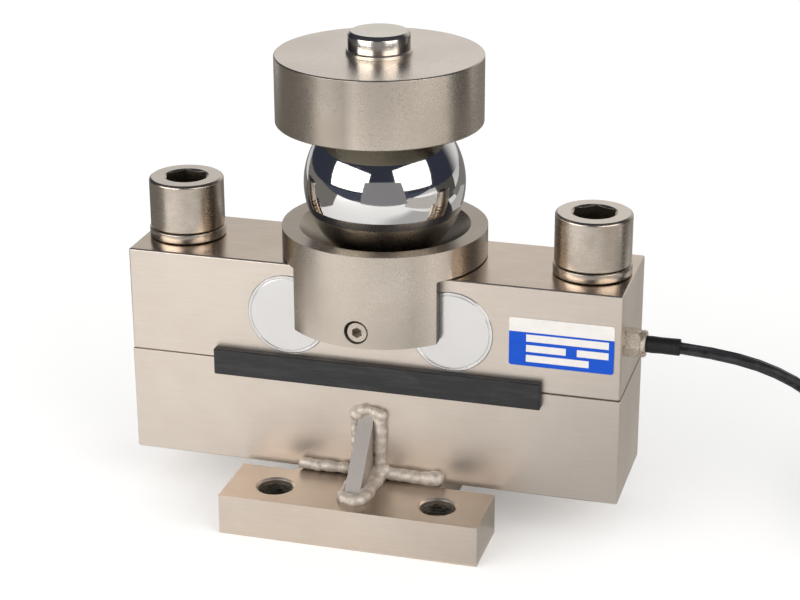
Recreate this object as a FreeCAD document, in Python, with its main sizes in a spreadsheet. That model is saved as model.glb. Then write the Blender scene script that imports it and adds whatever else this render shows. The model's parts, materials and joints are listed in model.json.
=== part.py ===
import FreeCAD, Part
import math
import os
import re

import Sketcher

os.makedirs("parts", exist_ok=True)

# Double-ended shear-beam load cell with ball and cup, in millimetres.
# X runs along the beam, Z is up, the load axis is the Z axis and the foot plate stands on Z = 0.

V = FreeCAD.Vector
doc = FreeCAD.newDocument("LoadCell")

# Lie of the round bars, and of the coil's ties and free end
ALONG_X = FreeCAD.Rotation(V(0, 0, 1), V(1, 0, 0))
ALONG_Y = FreeCAD.Rotation(V(0, 0, 1), V(0, 1, 0))
TAIL_START = 90.0
TIE_START = -60.0
TIE_SPREAD = 135.0

# Corners of the cable's fall from the gland's mouth to the floor, measured from that mouth,
# and the share of a run that the arc at its corner takes
CABLE_FALL = [
    (33.75, -0.2, -0.1), (68.75, -1.6, -8.8), (93.75, -4.0, -28.3), (107.25, -7.0, -54.8),
    (122.75, -11.0, -79.8), (145.25, -15.6, -95.3),
]
ARC_SHARE = 0.45

# Driving dimensions
SIZES = {
    # foot plate: two wings joined by a neck that passes under the block
    "plate_thick": 20.0,
    "wing_length": 126.0,
    "plate_depth": 136.5,
    "neck_width": 72.0,
    "wing_depth": 35.35,
    "neck_fillet": 2.5,
    "foot_hole_end_margin": 23.0,
    "foot_hole_edge_margin": 16.35,
    "foot_tap_bore": 16.5,
    "foot_tap_chamfer": 1.0,
    # base block
    "block_overhang": 0.5,
    "block_width": 56.0,
    "block_height": 53.0,
    "seat_length": 46.25,
    "relief_depth": 2.0,
    "tap_depth": 40.0,
    # load beam
    "beam_length": 239.5,
    "beam_width": 56.5,
    "beam_height": 51.5,
    "saddle_length": 52.0,
    "saddle_depth": 11.0,
    "edge_chamfer": 0.6,
    "bolt_end_margin": 19.75,
    "bolt_clearance_bore": 26.0,
    # gauge pockets, their covers and the wiring bores
    "pocket_span": 80.0,
    "pocket_diameter": 32.0,
    "pocket_depth": 18.0,
    "cover_diameter": 39.4,
    "cover_thick": 1.5,
    "cover_fit": 0.05,
    "cover_rim_width": 1.1,
    "cover_rim_height": 0.35,
    "wiring_bore": 5.0,
    "wiring_height": 25.3,
    "wiring_offset": 17.0,
    "web_bore": 3.6,
    "web_bore_offset": 9.0,
    # screws and washers
    "bolt_diameter": 24.0,
    "bolt_head_diameter": 36.0,
    "bolt_head_height": 24.0,
    "bolt_length": 90.0,
    "bolt_socket_flats": 19.0,
    "bolt_socket_depth": 12.0,
    "bolt_head_chamfer": 1.2,
    "washer_diameter": 37.2,
    "washer_bore": 24.5,
    "washer_thick": 5.4,
    "washer_split": 2.0,
    # cup, ball, cap and pin
    "cup_diameter": 97.6,
    "cup_rise": 14.7,
    "cheek_width": 69.0,
    "cheek_drop": 30.1,
    "cup_clearance": 1.0,
    "saddle_clearance": 0.25,
    "ball_diameter": 76.2,
    "dish_radius": 56.0,
    "ball_sink": 17.5,
    "cap_diameter": 97.4,
    "cap_thick": 32.3,
    "cap_dish_depth": 8.8,
    "cap_shift": 2.3,
    "cap_chamfer": 0.5,
    "cap_boss_diameter": 31.0,
    "cap_boss_height": 2.0,
    "pin_diameter": 29.0,
    "pin_shank_diameter": 28.0,
    "pin_rise": 10.5,
    "pin_seat": 8.0,
    "pin_chamfer": 1.2,
    # set screws in the cheeks
    "set_screw_diameter": 8.0,
    "set_screw_height": 29.2,
    "set_screw_flats": 4.0,
    "set_screw_socket_depth": 4.2,
    "set_screw_recess": 2.6,
    "set_screw_mouth": 10.8,
    # gussets and weld beads
    "rib_thick": 7.6,
    "rib_offset": 1.2,
    "rib_edge_margin": 13.75,
    "rib_rise": 33.0,
    "rib_nose": 1.6,
    "bead_leg": 6.5,
    "bead_plate_leg": 7.0,
    "bead_toe": 9.0,
    "bead_throat": 1.0,
    "bead_cap": 4.4,
    # strip over the joint and the rating plate
    "strip_length": 160.0,
    "strip_height": 13.0,
    "strip_thick": 4.5,
    "strip_offset": 3.3,
    "strip_below_joint": 7.2,
    "label_length": 48.9,
    "label_height": 23.6,
    "label_thick": 0.5,
    "label_end_margin": 3.35,
    "label_above_joint": 13.1,
    "label_corner": 1.2,
    # cable entry
    "gland_flats": 12.0,
    "gland_hex_length": 7.2,
    "gland_thread": 10.0,
    "gland_thread_length": 6.0,
    "gland_collar_diameter": 12.6,
    "gland_collar_length": 2.3,
    "gland_bore": 7.6,
    "cable_diameter": 5.5,
    "sleeve_diameter": 7.9,
    "sleeve_length": 15.5,
    # put-away length of the cable: a flat coil of whole layers
    "coil_mean_diameter": 99.0,
    "coil_pitch": 5.65,
    "coil_turns_across": 6.25,
    "coil_layers": 6.0,
    "coil_reach": 168.75,
    "run_end_reach": 133.25,
    "coil_y": 30.0,
    "coil_corner": 2.6,
    "tail_radius": 58.7,
    "tail_angle": 150.0,
    "tie_thick": 0.8,
    "tie_width": 4.0,
    "tie_fit": 0.1,
    "core_bundle": 3.6,
    "core_length": 36.0,
    # small inner pieces
    "gauge_length": 12.0,
    "gauge_height": 9.0,
    "gauge_thick": 0.3,
    "board_length": 12.0,
    "board_height": 6.0,
    "board_thick": 1.6,
    "board_drop": 7.0,
    "link_wire_diameter": 3.4,
    "web_wire_diameter": 2.4,
    "core_run_diameter": 3.8,
}

# Lengths, levels and places that several pieces share, worked out from the driving dimensions
PLACES = {
    "block_length": "beam_length + 2 * block_overhang",
    "bolt_span": "beam_length - 2 * bolt_end_margin",
    "relief_length": "block_length - 2 * seat_length",
    "foot_hole_span": "wing_length - 2 * foot_hole_end_margin",
    "foot_hole_depth_span": "plate_depth - 2 * foot_hole_edge_margin",
    "wing_inner": "plate_depth / 2 - wing_depth",
    "rib_reach": "plate_depth / 2 - block_width / 2 - rib_edge_margin",
    "block_top": "plate_thick + block_height",
    "beam_top": "block_top + beam_height",
    "beam_half": "beam_width / 2",
    "head_seat": "beam_top + washer_thick",
    "cup_floor": "beam_top + cup_rise - ball_sink",
    "ball_level": "cup_floor + ball_diameter / 2",
    "cap_gap": "sqrt((dish_radius - ball_diameter / 2)^2 - cap_shift^2)",
    "cap_level": "ball_level - cap_gap + dish_radius - cap_dish_depth",
    "pocket_floor": "beam_width / 2 - pocket_depth",
    "wiring_level": "block_top + wiring_height",
    "gland_end": "beam_length / 2 + gland_hex_length + gland_collar_length",
    "run_end": "gland_end + run_end_reach",
    "coil_x": "gland_end + coil_reach",
    "coil_half_width": "coil_turns_across * coil_pitch / 2",
    "coil_outer_turn": "coil_mean_diameter / 2 + (coil_turns_across - 1) * coil_pitch / 2",
    "coil_top": "tie_thick + coil_layers * coil_pitch",
}

sheet = doc.addObject("Spreadsheet::Sheet", "Sizes")
for row, (alias, value) in enumerate({**SIZES, **PLACES}.items(), start=1):
    sheet.set(f"A{row}", alias)
    sheet.set(f"B{row}", f"={value}")
    sheet.setAlias(f"B{row}", alias)
doc.recompute()


def formula(text):
    """Point every size and place name at the sheet."""
    return re.sub(r"[a-z]\w*", lambda m: "Sizes." + m[0] if m[0] in SIZES or m[0] in PLACES else m[0], str(text))


def bind(thing, prop, text):
    thing.setExpression(prop, formula(text))


def place(thing, x="0", y="0", z="0"):
    """Bind where a sub-part stands."""
    bind(thing, "Placement.Base.x", x)
    bind(thing, "Placement.Base.y", y)
    bind(thing, "Placement.Base.z", z)


def new_body(label, x="0", y="0", z="0", turn=0.0):
    """A body that is one sub-part, with its label, its place and a turn about the load axis."""
    body = doc.addObject("PartDesign::Body", label)
    body.Label = label
    body.Placement = FreeCAD.Placement(V(0, 0, 0), FreeCAD.Rotation(V(0, 0, 1), turn))
    place(body, x, y, z)
    return body


def origin_of(body, role):
    return next(feature for feature in body.Origin.OriginFeatures if feature.Role == role)


def new_sketch(body, role, offset="0"):
    """A sketch on an origin plane, moved along that plane's normal. XZ_Plane looks towards -Y."""
    sketch = body.newObject("Sketcher::SketchObject", "Sketch")
    sketch.AttachmentSupport = (origin_of(body, role), [""])
    sketch.MapMode = "FlatFace"
    bind(sketch, "AttachmentOffset.Base.z", offset)
    return sketch


def pin_point(sketch, geometry, position, x, y):
    """Hold one point of the sketch at formulas for its two coordinates."""
    start = sketch.getPoint(geometry, position)
    across = sketch.addConstraint(Sketcher.Constraint("DistanceX", -1, 1, geometry, position, start.x))
    along = sketch.addConstraint(Sketcher.Constraint("DistanceY", -1, 1, geometry, position, start.y))
    bind(sketch, f"Constraints[{across}]", x)
    bind(sketch, f"Constraints[{along}]", y)


def polygon(sketch, points):
    """A closed outline through the points, each a pair of formulas."""
    first = sketch.GeometryCount
    count = len(points)
    ring = [V(math.cos(2 * math.pi * i / count), math.sin(2 * math.pi * i / count), 0) for i in range(count)]
    for i in range(count):
        sketch.addGeometry(Part.LineSegment(ring[i], ring[(i + 1) % count]), False)
    for i in range(count):
        sketch.addConstraint(Sketcher.Constraint("Coincident", first + i, 2, first + (i + 1) % count, 1))
    for i, (x, y) in enumerate(points):
        pin_point(sketch, first + i, 1, x, y)


def rectangle(sketch, x0, x1, y0, y1):
    polygon(sketch, [(x0, y0), (x1, y0), (x1, y1), (x0, y1)])


def hexagon(sketch, flats):
    """A hexagon about the sketch's origin, its corners left and right."""
    corner = f"{flats} / sqrt(3)"
    half = f"{flats} / 2"
    polygon(sketch, [
        (corner, "0"), (f"{corner} / 2", half), (f"-{corner} / 2", half),
        (f"-{corner}", "0"), (f"-{corner} / 2", f"-{half}"), (f"{corner} / 2", f"-{half}"),
    ])


def circle(sketch, x, y, diameter):
    index = sketch.addGeometry(Part.Circle(V(1, 1, 0), V(0, 0, 1), 2), False)
    width = sketch.addConstraint(Sketcher.Constraint("Diameter", index, 4.0))
    bind(sketch, f"Constraints[{width}]", diameter)
    pin_point(sketch, index, 3, x, y)


def add_pad(body, sketch, length, symmetric=False):
    pad = body.newObject("PartDesign::Pad", "Pad")
    pad.Profile = sketch
    pad.SideType = "Symmetric" if symmetric else "One side"
    bind(pad, "Length", length)
    body.Tip = pad
    return pad


def add_pocket(body, sketch, length=None, symmetric=False, upwards=False):
    """A pocket against the sketch's normal, or along it when upwards; right through without a length."""
    before = solid_of(body)
    pocket = body.newObject("PartDesign::Pocket", "Pocket")
    pocket.Profile = sketch
    pocket.SideType = "Symmetric" if symmetric else "One side"
    pocket.Reversed = upwards
    if length is None:
        pocket.Type = "ThroughAll"
    else:
        bind(pocket, "Length", length)
    body.Tip = pocket
    if solid_of(body) >= before:
        raise RuntimeError(f"a pocket of {body.Label} cuts nothing")
    return pocket


def solid_of(body):
    """The body's volume as it stands."""
    doc.recompute()
    return body.Shape.Volume


def add_revolution(body, sketch, axis="Z_Axis"):
    spin = body.newObject("PartDesign::Revolution", "Revolution")
    spin.Profile = sketch
    spin.ReferenceAxis = (origin_of(body, axis), [""])
    spin.Angle = 360
    body.Tip = spin
    return spin


def add_mirror(body, features, role):
    mirror = body.newObject("PartDesign::Mirrored", "Mirror")
    mirror.Originals = features
    mirror.MirrorPlane = (origin_of(body, role), [""])
    body.Tip = mirror
    return mirror


def add_row(body, features, axis, length, count=2):
    """Repeat features along an axis, the last one a given length from the first."""
    row = body.newObject("PartDesign::LinearPattern", "Row")
    row.Originals = features
    row.Direction = (origin_of(body, axis), [""])
    bind(row, "Length", length)
    row.Occurrences = count
    body.Tip = row
    return row


def add_ring(body, features, axis, count=2):
    """Repeat features evenly round an axis."""
    ring = body.newObject("PartDesign::PolarPattern", "Ring")
    ring.Originals = features
    ring.Axis = (origin_of(body, axis), [""])
    ring.Angle = 360
    ring.Occurrences = count
    body.Tip = ring
    return ring


def add_ball(body, radius, level):
    """Take a ball out of the body, its centre on the body's Z axis."""
    hollow = body.newObject("PartDesign::SubtractiveSphere", "Dish")
    bind(hollow, "Radius", radius)
    bind(hollow, "AttachmentOffset.Base.z", level)
    hollow.AttachmentSupport = (origin_of(body, "XY_Plane"), [""])
    hollow.MapMode = "FlatFace"
    body.Tip = hollow
    return hollow


def add_edge_feature(body, kind, amount, wanted):
    """Chamfer or fillet the edges that the test picks out of the body as it stands."""
    doc.recompute()
    tip = body.Tip
    names = [f"Edge{i}" for i, edge in enumerate(tip.Shape.Edges, start=1) if wanted(edge)]
    if not names:
        raise RuntimeError(f"no edge of {body.Label} fits")
    feature = body.newObject("PartDesign::" + kind, kind)
    feature.Base = (tip, names)
    bind(feature, "Size" if kind == "Chamfer" else "Radius", amount)
    body.Tip = feature
    return feature


def is_outer(edge, half_length, half_width):
    """True for a straight edge that lies on the outside corners of a bar."""
    ends = [vertex.Point for vertex in edge.Vertexes]
    if len(ends) != 2:
        return False
    on_end = all(abs(abs(p.x) - half_length) < 1e-6 for p in ends)
    on_side = all(abs(abs(p.y) - half_width) < 1e-6 for p in ends)
    flat = abs(ends[0].z - ends[1].z) < 1e-6
    return (on_end and on_side) or (flat and (on_end or on_side))


def is_circle(edge, radius, level):
    """True for a circle of a given radius in the body's plane at a given level."""
    curve = edge.Curve
    if not isinstance(curve, Part.Circle):
        return False
    return abs(curve.Radius - radius) < 1e-6 and abs(curve.Center.z - level) < 1e-6


def size(alias):
    """The value of a driving dimension, read from the sheet."""
    return float(sheet.get(alias))


# Load beam: a bar with a saddle under the cup, bolt bores, gauge pockets and wiring bores
def make_load_beam():
    body = new_body("load_beam", z="block_top")
    side = new_sketch(body, "XZ_Plane")
    polygon(side, [
        ("-beam_length / 2", "0"), ("beam_length / 2", "0"),
        ("beam_length / 2", "beam_height"), ("saddle_length / 2", "beam_height"),
        ("saddle_length / 2", "beam_height - saddle_depth"), ("-saddle_length / 2", "beam_height - saddle_depth"),
        ("-saddle_length / 2", "beam_height"), ("-beam_length / 2", "beam_height"),
    ])
    add_pad(body, side, "beam_width", symmetric=True)
    half_length = size("beam_length") / 2
    half_width = size("beam_width") / 2
    saddle_floor = size("beam_height") - size("saddle_depth")

    def outer_edge(edge):
        return is_outer(edge, half_length, half_width) and abs(edge.CenterOfMass.z - saddle_floor) > 1e-6

    add_edge_feature(body, "Chamfer", "edge_chamfer", outer_edge)
    bores = new_sketch(body, "XY_Plane")
    for sign in ("-", ""):
        circle(bores, sign + "bolt_span / 2", "0", "bolt_clearance_bore")
    add_pocket(body, bores, upwards=True)
    pockets = new_sketch(body, "XZ_Plane", "beam_half")
    recesses = new_sketch(body, "XZ_Plane", "beam_half")
    webs = new_sketch(body, "XZ_Plane", "beam_half")
    for sign in ("-", ""):
        circle(pockets, sign + "pocket_span / 2", "beam_height / 2", "pocket_diameter")
        circle(recesses, sign + "pocket_span / 2", "beam_height / 2", "cover_diameter + 2 * cover_fit")
        circle(webs, sign + "(pocket_span / 2 + web_bore_offset)", "beam_height / 2", "web_bore")
    pocket_cut = add_pocket(body, pockets, "pocket_depth")
    recess_cut = add_pocket(body, recesses, "cover_thick")
    add_mirror(body, [pocket_cut, recess_cut], "XZ_Plane")
    add_pocket(body, webs)
    wiring = new_sketch(body, "YZ_Plane", "beam_length / 2")
    circle(wiring, "-wiring_offset", "wiring_height", "wiring_bore")
    add_pocket(body, wiring, "beam_length / 2 + pocket_span / 2 - pocket_diameter / 4")
    entry = new_sketch(body, "YZ_Plane", "beam_length / 2")
    circle(entry, "-wiring_offset", "wiring_height", "gland_thread")
    add_pocket(body, entry, "gland_thread_length")
    return body


# Base block: a bar tapped for the bolts and relieved under the middle of the beam
def make_base_block():
    body = new_body("base_block", z="plate_thick")
    foot = new_sketch(body, "XY_Plane")
    rectangle(foot, "-block_length / 2", "block_length / 2", "-block_width / 2", "block_width / 2")
    add_pad(body, foot, "block_height")
    half_length = size("block_length") / 2
    half_width = size("block_width") / 2
    add_edge_feature(body, "Chamfer", "edge_chamfer", lambda edge: is_outer(edge, half_length, half_width))
    relief = new_sketch(body, "XZ_Plane")
    rectangle(relief, "-relief_length / 2", "relief_length / 2", "block_height - relief_depth", "block_height + 1")
    add_pocket(body, relief, "block_width + 2", symmetric=True)
    taps = new_sketch(body, "XY_Plane", "block_height")
    for sign in ("-", ""):
        circle(taps, sign + "bolt_span / 2", "0", "bolt_diameter")
    add_pocket(body, taps, "tap_depth")
    return body


# Foot plate: two tapped wings and the neck between them, cut from one plate
def make_base_plate():
    body = new_body("base_plate")
    outline = new_sketch(body, "XY_Plane")
    quarter = [("neck_width / 2", "wing_inner"), ("wing_length / 2", "wing_inner"), ("wing_length / 2", "plate_depth / 2")]
    signs = [("", ""), ("-", ""), ("-", "-"), ("", "-")]
    points = []
    for turn, (sx, sy) in enumerate(signs):
        corner = [(sx + x, sy + y) for x, y in quarter]
        points += corner if turn % 2 == 0 else corner[::-1]
    polygon(outline, points)
    add_pad(body, outline, "plate_thick")
    half_neck = size("neck_width") / 2

    def inner_corner(edge):
        ends = [vertex.Point for vertex in edge.Vertexes]
        return all(abs(abs(p.x) - half_neck) < 1e-6 for p in ends) and abs(ends[0].z - ends[1].z) > 1

    add_edge_feature(body, "Fillet", "neck_fillet", inner_corner)
    half_length = size("wing_length") / 2
    half_depth = size("plate_depth") / 2
    add_edge_feature(body, "Chamfer", "edge_chamfer", lambda edge: is_outer(edge, half_length, half_depth))
    taps = new_sketch(body, "XY_Plane", "plate_thick")
    for sx, sy in signs:
        circle(taps, sx + "foot_hole_span / 2", sy + "foot_hole_depth_span / 2", "foot_tap_bore")
    add_pocket(body, taps)
    radius = size("foot_tap_bore") / 2
    top = size("plate_thick")
    add_edge_feature(body, "Chamfer", "foot_tap_chamfer", lambda edge: is_circle(edge, radius, top))
    return body


def rib_outline(sketch):
    """Side view of a gusset: upright on the block, flat on the foot plate, sloping between."""
    polygon(sketch, [
        ("-block_width / 2", "0"), ("-(block_width / 2 + rib_reach)", "0"),
        ("-(block_width / 2 + rib_reach)", "rib_nose"), ("-block_width / 2", "rib_rise"),
    ])


# Gussets, the rear one turned half round
def make_rib(label, turn, shift):
    body = new_body(label, x=shift, z="plate_thick", turn=turn)
    side = new_sketch(body, "YZ_Plane")
    rib_outline(side)
    add_pad(body, side, "rib_thick", symmetric=True)
    return body


# Weld beads: along the neck, up both sides of the gusset and round its toe, as one run
def make_weld(label, turn, shift):
    body = new_body(label, x=shift, z="plate_thick", turn=turn)
    neck = new_sketch(body, "YZ_Plane", f"-({shift}) * {'1' if turn == 0 else '-1'}")
    polygon(neck, [
        ("-block_width / 2", "0"), ("-(block_width / 2 + bead_plate_leg)", "0"), ("-block_width / 2", "bead_leg"),
    ])
    add_pad(body, neck, "neck_width", symmetric=True)
    upright = new_sketch(body, "XY_Plane")
    polygon(upright, [
        ("-(rib_thick / 2 + bead_leg)", "-block_width / 2"), ("rib_thick / 2 + bead_leg", "-block_width / 2"),
        ("rib_thick / 2 + bead_throat", "-(block_width / 2 + bead_leg)"),
        ("-(rib_thick / 2 + bead_throat)", "-(block_width / 2 + bead_leg)"),
    ])
    add_pad(body, upright, "rib_rise + bead_cap")
    foot = new_sketch(body, "XZ_Plane", "block_width / 2")
    polygon(foot, [
        ("-(rib_thick / 2 + bead_leg)", "0"), ("rib_thick / 2 + bead_leg", "0"),
        ("rib_thick / 2 + bead_throat", "bead_leg"), ("-(rib_thick / 2 + bead_throat)", "bead_leg"),
    ])
    add_pad(body, foot, "rib_reach + bead_toe")
    slope = new_sketch(body, "YZ_Plane")
    polygon(slope, [
        ("-block_width / 2", "rib_rise + bead_cap"), ("-(block_width / 2 + rib_reach)", "rib_rise + bead_cap"),
        ("-(block_width / 2 + rib_reach)", "bead_leg"), ("-(block_width / 2 + bead_leg)", "rib_rise - bead_leg"),
    ])
    add_pocket(body, slope, "rib_thick + 3 * bead_leg", symmetric=True)
    rib = new_sketch(body, "YZ_Plane")
    rib_outline(rib)
    add_pocket(body, rib, "rib_thick", symmetric=True)
    return body


# Socket-head screws that hold the beam down, one at each end
def make_mounting_bolts():
    body = new_body("mounting_bolts", x="-bolt_span / 2", z="head_seat")
    body.AllowCompound = True
    half = new_sketch(body, "XZ_Plane")
    polygon(half, [
        ("0", "-bolt_length"), ("bolt_diameter / 2 - bolt_head_chamfer", "-bolt_length"),
        ("bolt_diameter / 2", "-bolt_length + bolt_head_chamfer"), ("bolt_diameter / 2", "0"),
        ("bolt_head_diameter / 2", "0"), ("bolt_head_diameter / 2", "bolt_head_height - bolt_head_chamfer"),
        ("bolt_head_diameter / 2 - bolt_head_chamfer", "bolt_head_height"), ("0", "bolt_head_height"),
    ])
    spin = add_revolution(body, half)
    socket = new_sketch(body, "XY_Plane", "bolt_head_height")
    hexagon(socket, "bolt_socket_flats")
    cut = add_pocket(body, socket, "bolt_socket_depth")
    add_row(body, [spin, cut], "X_Axis", "bolt_span")
    return body


# Split spring washers under the heads
def make_spring_washers():
    body = new_body("spring_washers", x="-bolt_span / 2", z="beam_top")
    body.AllowCompound = True
    section = new_sketch(body, "XZ_Plane")
    rectangle(section, "washer_bore / 2", "washer_diameter / 2", "0", "washer_thick")
    spin = add_revolution(body, section)
    split = new_sketch(body, "XY_Plane")
    rectangle(split, "-washer_split / 2", "washer_split / 2", "0", "washer_diameter")
    cut = add_pocket(body, split, upwards=True)
    add_row(body, [spin, cut], "X_Axis", "bolt_span")
    return body


# Cup: a turned seat whose two cheeks straddle the beam and whose middle sits in the saddle
def make_ball_cup():
    body = new_body("ball_cup", z="beam_top")
    disc = new_sketch(body, "XY_Plane", "-cheek_drop")
    circle(disc, "0", "0", "cup_diameter")
    add_pad(body, disc, "cheek_drop + cup_rise")
    radius = size("cup_diameter") / 2
    add_edge_feature(body, "Chamfer", "edge_chamfer", lambda edge: is_circle(edge, radius, size("cup_rise")))
    sides = new_sketch(body, "XZ_Plane")
    rectangle(sides, "-cup_diameter", "-cheek_width / 2", "-2 * cheek_drop", "0")
    rectangle(sides, "cheek_width / 2", "cup_diameter", "-2 * cheek_drop", "0")
    add_pocket(body, sides, "2 * cup_diameter", symmetric=True)
    key = "saddle_length / 2 - saddle_clearance"
    key_level = "-(saddle_depth - saddle_clearance)"
    slot = new_sketch(body, "XZ_Plane")
    polygon(slot, [
        ("-cup_diameter", "-2 * cheek_drop"), ("cup_diameter", "-2 * cheek_drop"), ("cup_diameter", "0"),
        (key, "0"), (key, key_level), (f"-({key})", key_level), (f"-({key})", "0"), ("-cup_diameter", "0"),
    ])
    add_pocket(body, slot, "beam_width + 2 * cup_clearance", symmetric=True)
    add_ball(body, "dish_radius", "cup_rise - ball_sink + dish_radius")
    thread = new_sketch(body, "XZ_Plane", "cup_diameter / 2")
    circle(thread, "0", "set_screw_height - beam_height", "set_screw_diameter")
    thread_cut = add_pocket(body, thread, "cup_diameter / 2 - beam_half")
    mouth = new_sketch(body, "XZ_Plane", "cup_diameter / 2")
    circle(mouth, "0", "set_screw_height - beam_height", "set_screw_mouth")
    mouth_cut = add_pocket(body, mouth, "set_screw_recess")
    add_mirror(body, [thread_cut, mouth_cut], "XZ_Plane")
    return body


# Ball, resting at the lowest point of the cup's dish
def make_steel_ball():
    ball = doc.addObject("Part::Sphere", "steel_ball")
    ball.Label = "steel_ball"
    bind(ball, "Radius", "ball_diameter / 2")
    place(ball, z="ball_level")
    return ball


# Cap: a turned disc with a shallow dish below, and a low boss with a seat for the pin above
def make_load_cap():
    body = new_body("load_cap", x="-cap_shift", z="cap_level")
    disc = new_sketch(body, "XY_Plane")
    circle(disc, "0", "0", "cap_diameter")
    add_pad(body, disc, "cap_thick")
    radius = size("cap_diameter") / 2
    add_edge_feature(body, "Chamfer", "cap_chamfer",
                     lambda edge: is_circle(edge, radius, 0.0) or is_circle(edge, radius, size("cap_thick")))
    add_ball(body, "dish_radius", "cap_dish_depth - dish_radius")
    boss = new_sketch(body, "XY_Plane", "cap_thick")
    circle(boss, "0", "0", "cap_boss_diameter")
    add_pad(body, boss, "cap_boss_height")
    seat = new_sketch(body, "XY_Plane", "cap_thick + cap_boss_height")
    circle(seat, "0", "0", "pin_shank_diameter")
    add_pocket(body, seat, "cap_boss_height + pin_seat")
    return body


# Locating pin, its thinner shank pressed into the cap
def make_cap_pin():
    body = new_body("cap_pin", x="-cap_shift", z="cap_level + cap_thick")
    half = new_sketch(body, "XZ_Plane")
    polygon(half, [
        ("0", "-pin_seat"), ("pin_shank_diameter / 2", "-pin_seat"), ("pin_shank_diameter / 2", "cap_boss_height"),
        ("pin_diameter / 2", "cap_boss_height"),
        ("pin_diameter / 2", "pin_rise - pin_chamfer"), ("pin_diameter / 2 - pin_chamfer", "pin_rise"), ("0", "pin_rise"),
    ])
    add_revolution(body, half)
    return body


# Set screws through the cheeks, bearing on the beam's faces
def make_set_screws():
    body = new_body("set_screws", z="block_top + set_screw_height")
    body.AllowCompound = True
    shank = new_sketch(body, "XZ_Plane", "beam_half")
    circle(shank, "0", "0", "set_screw_diameter")
    pad = add_pad(body, shank, "cup_diameter / 2 - set_screw_recess - beam_half")
    socket = new_sketch(body, "XZ_Plane", "cup_diameter / 2 - set_screw_recess")
    hexagon(socket, "set_screw_flats")
    cut = add_pocket(body, socket, "set_screw_socket_depth")
    add_ring(body, [pad, cut], "Z_Axis")
    return body


# Pocket covers: thin discs let into the beam's faces, with a raised rim
def make_cover(label, turn, shift):
    body = new_body(label, x=shift, z="block_top + beam_height / 2", turn=turn)
    disc = new_sketch(body, "XZ_Plane", "beam_half - cover_thick")
    circle(disc, "0", "0", "cover_diameter")
    add_pad(body, disc, "cover_thick")
    rim = new_sketch(body, "XZ_Plane", "beam_half - cover_thick")
    circle(rim, "0", "0", "cover_diameter")
    circle(rim, "0", "0", "cover_diameter - 2 * cover_rim_width")
    add_pad(body, rim, "cover_thick + cover_rim_height")
    return body


def make_box(label, length, width, height, x, y, z):
    """A block with its low corner at x, y, z."""
    box = doc.addObject("Part::Box", label)
    box.Label = label
    bind(box, "Length", length)
    bind(box, "Width", width)
    bind(box, "Height", height)
    place(box, x, y, z)
    return box


def make_rod(label, diameter, length, x, y, z, axis):
    """A round bar that starts at x, y, z and runs along an axis."""
    rod = doc.addObject("Part::Cylinder", label)
    rod.Label = label
    rod.Placement = FreeCAD.Placement(V(0, 0, 0), axis)
    bind(rod, "Radius", f"({diameter}) / 2")
    bind(rod, "Height", length)
    place(rod, x, y, z)
    return rod


# Strip over the joint, with its long edges broken
def make_marker_strip():
    body = new_body("marker_strip", x="strip_offset", y="-beam_half", z="block_top - strip_below_joint")
    face = new_sketch(body, "XZ_Plane")
    rectangle(face, "-strip_length / 2", "strip_length / 2", "0", "strip_height")
    add_pad(body, face, "strip_thick")
    front = -size("strip_thick")
    add_edge_feature(body, "Chamfer", "edge_chamfer",
                     lambda edge: all(abs(vertex.Point.y - front) < 1e-6 for vertex in edge.Vertexes))
    return body


# Rating plate, bare, with rounded corners
def make_rating_plate():
    body = new_body("rating_plate", x="beam_length / 2 - label_end_margin - label_length", y="-beam_half", z="block_top + label_above_joint")
    face = new_sketch(body, "XZ_Plane")
    rectangle(face, "0", "label_length", "0", "label_height")
    add_pad(body, face, "label_thick")
    add_edge_feature(body, "Fillet", "label_corner",
                     lambda edge: abs(edge.Vertexes[0].Point.y - edge.Vertexes[-1].Point.y) > 1e-6)
    return body


# Cable gland: a hexagon with its thread in the beam's end, a round collar and the bush inside
def make_gland_body():
    body = new_body("gland_body", x="beam_length / 2", y="-wiring_offset", z="wiring_level")
    nut = new_sketch(body, "YZ_Plane")
    corner = "gland_flats / sqrt(3)"
    half = "gland_flats / 2"
    polygon(nut, [
        ("0", corner), (f"-{half}", f"{corner} / 2"), (f"-{half}", f"-{corner} / 2"),
        ("0", f"-{corner}"), (half, f"-{corner} / 2"), (half, f"{corner} / 2"),
    ])
    add_pad(body, nut, "gland_hex_length")
    shank = new_sketch(body, "YZ_Plane", "-gland_thread_length")
    circle(shank, "0", "0", "gland_thread")
    add_pad(body, shank, "gland_thread_length")
    bore = new_sketch(body, "YZ_Plane", "gland_hex_length")
    circle(bore, "0", "0", "gland_bore")
    add_pocket(body, bore)
    return body


def make_gland_collar():
    body = new_body("gland_collar", x="beam_length / 2 + gland_hex_length", y="-wiring_offset", z="wiring_level")
    ring = new_sketch(body, "YZ_Plane")
    circle(ring, "0", "0", "gland_collar_diameter")
    circle(ring, "0", "0", "gland_bore")
    add_pad(body, ring, "gland_collar_length")
    return body


def make_gland_seal():
    return make_rod("gland_seal", "gland_bore", "gland_end - (beam_length / 2 - gland_thread_length)",
                    "beam_length / 2 - gland_thread_length", "-wiring_offset", "wiring_level", ALONG_X)


# Short black sleeve round the cable, against the gland
def make_cable_sleeve():
    body = new_body("cable_sleeve", x="gland_end", y="-wiring_offset", z="wiring_level")
    ring = new_sketch(body, "YZ_Plane")
    circle(ring, "0", "0", "sleeve_diameter")
    circle(ring, "0", "0", "cable_diameter")
    add_pad(body, ring, "sleeve_length")
    return body


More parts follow.
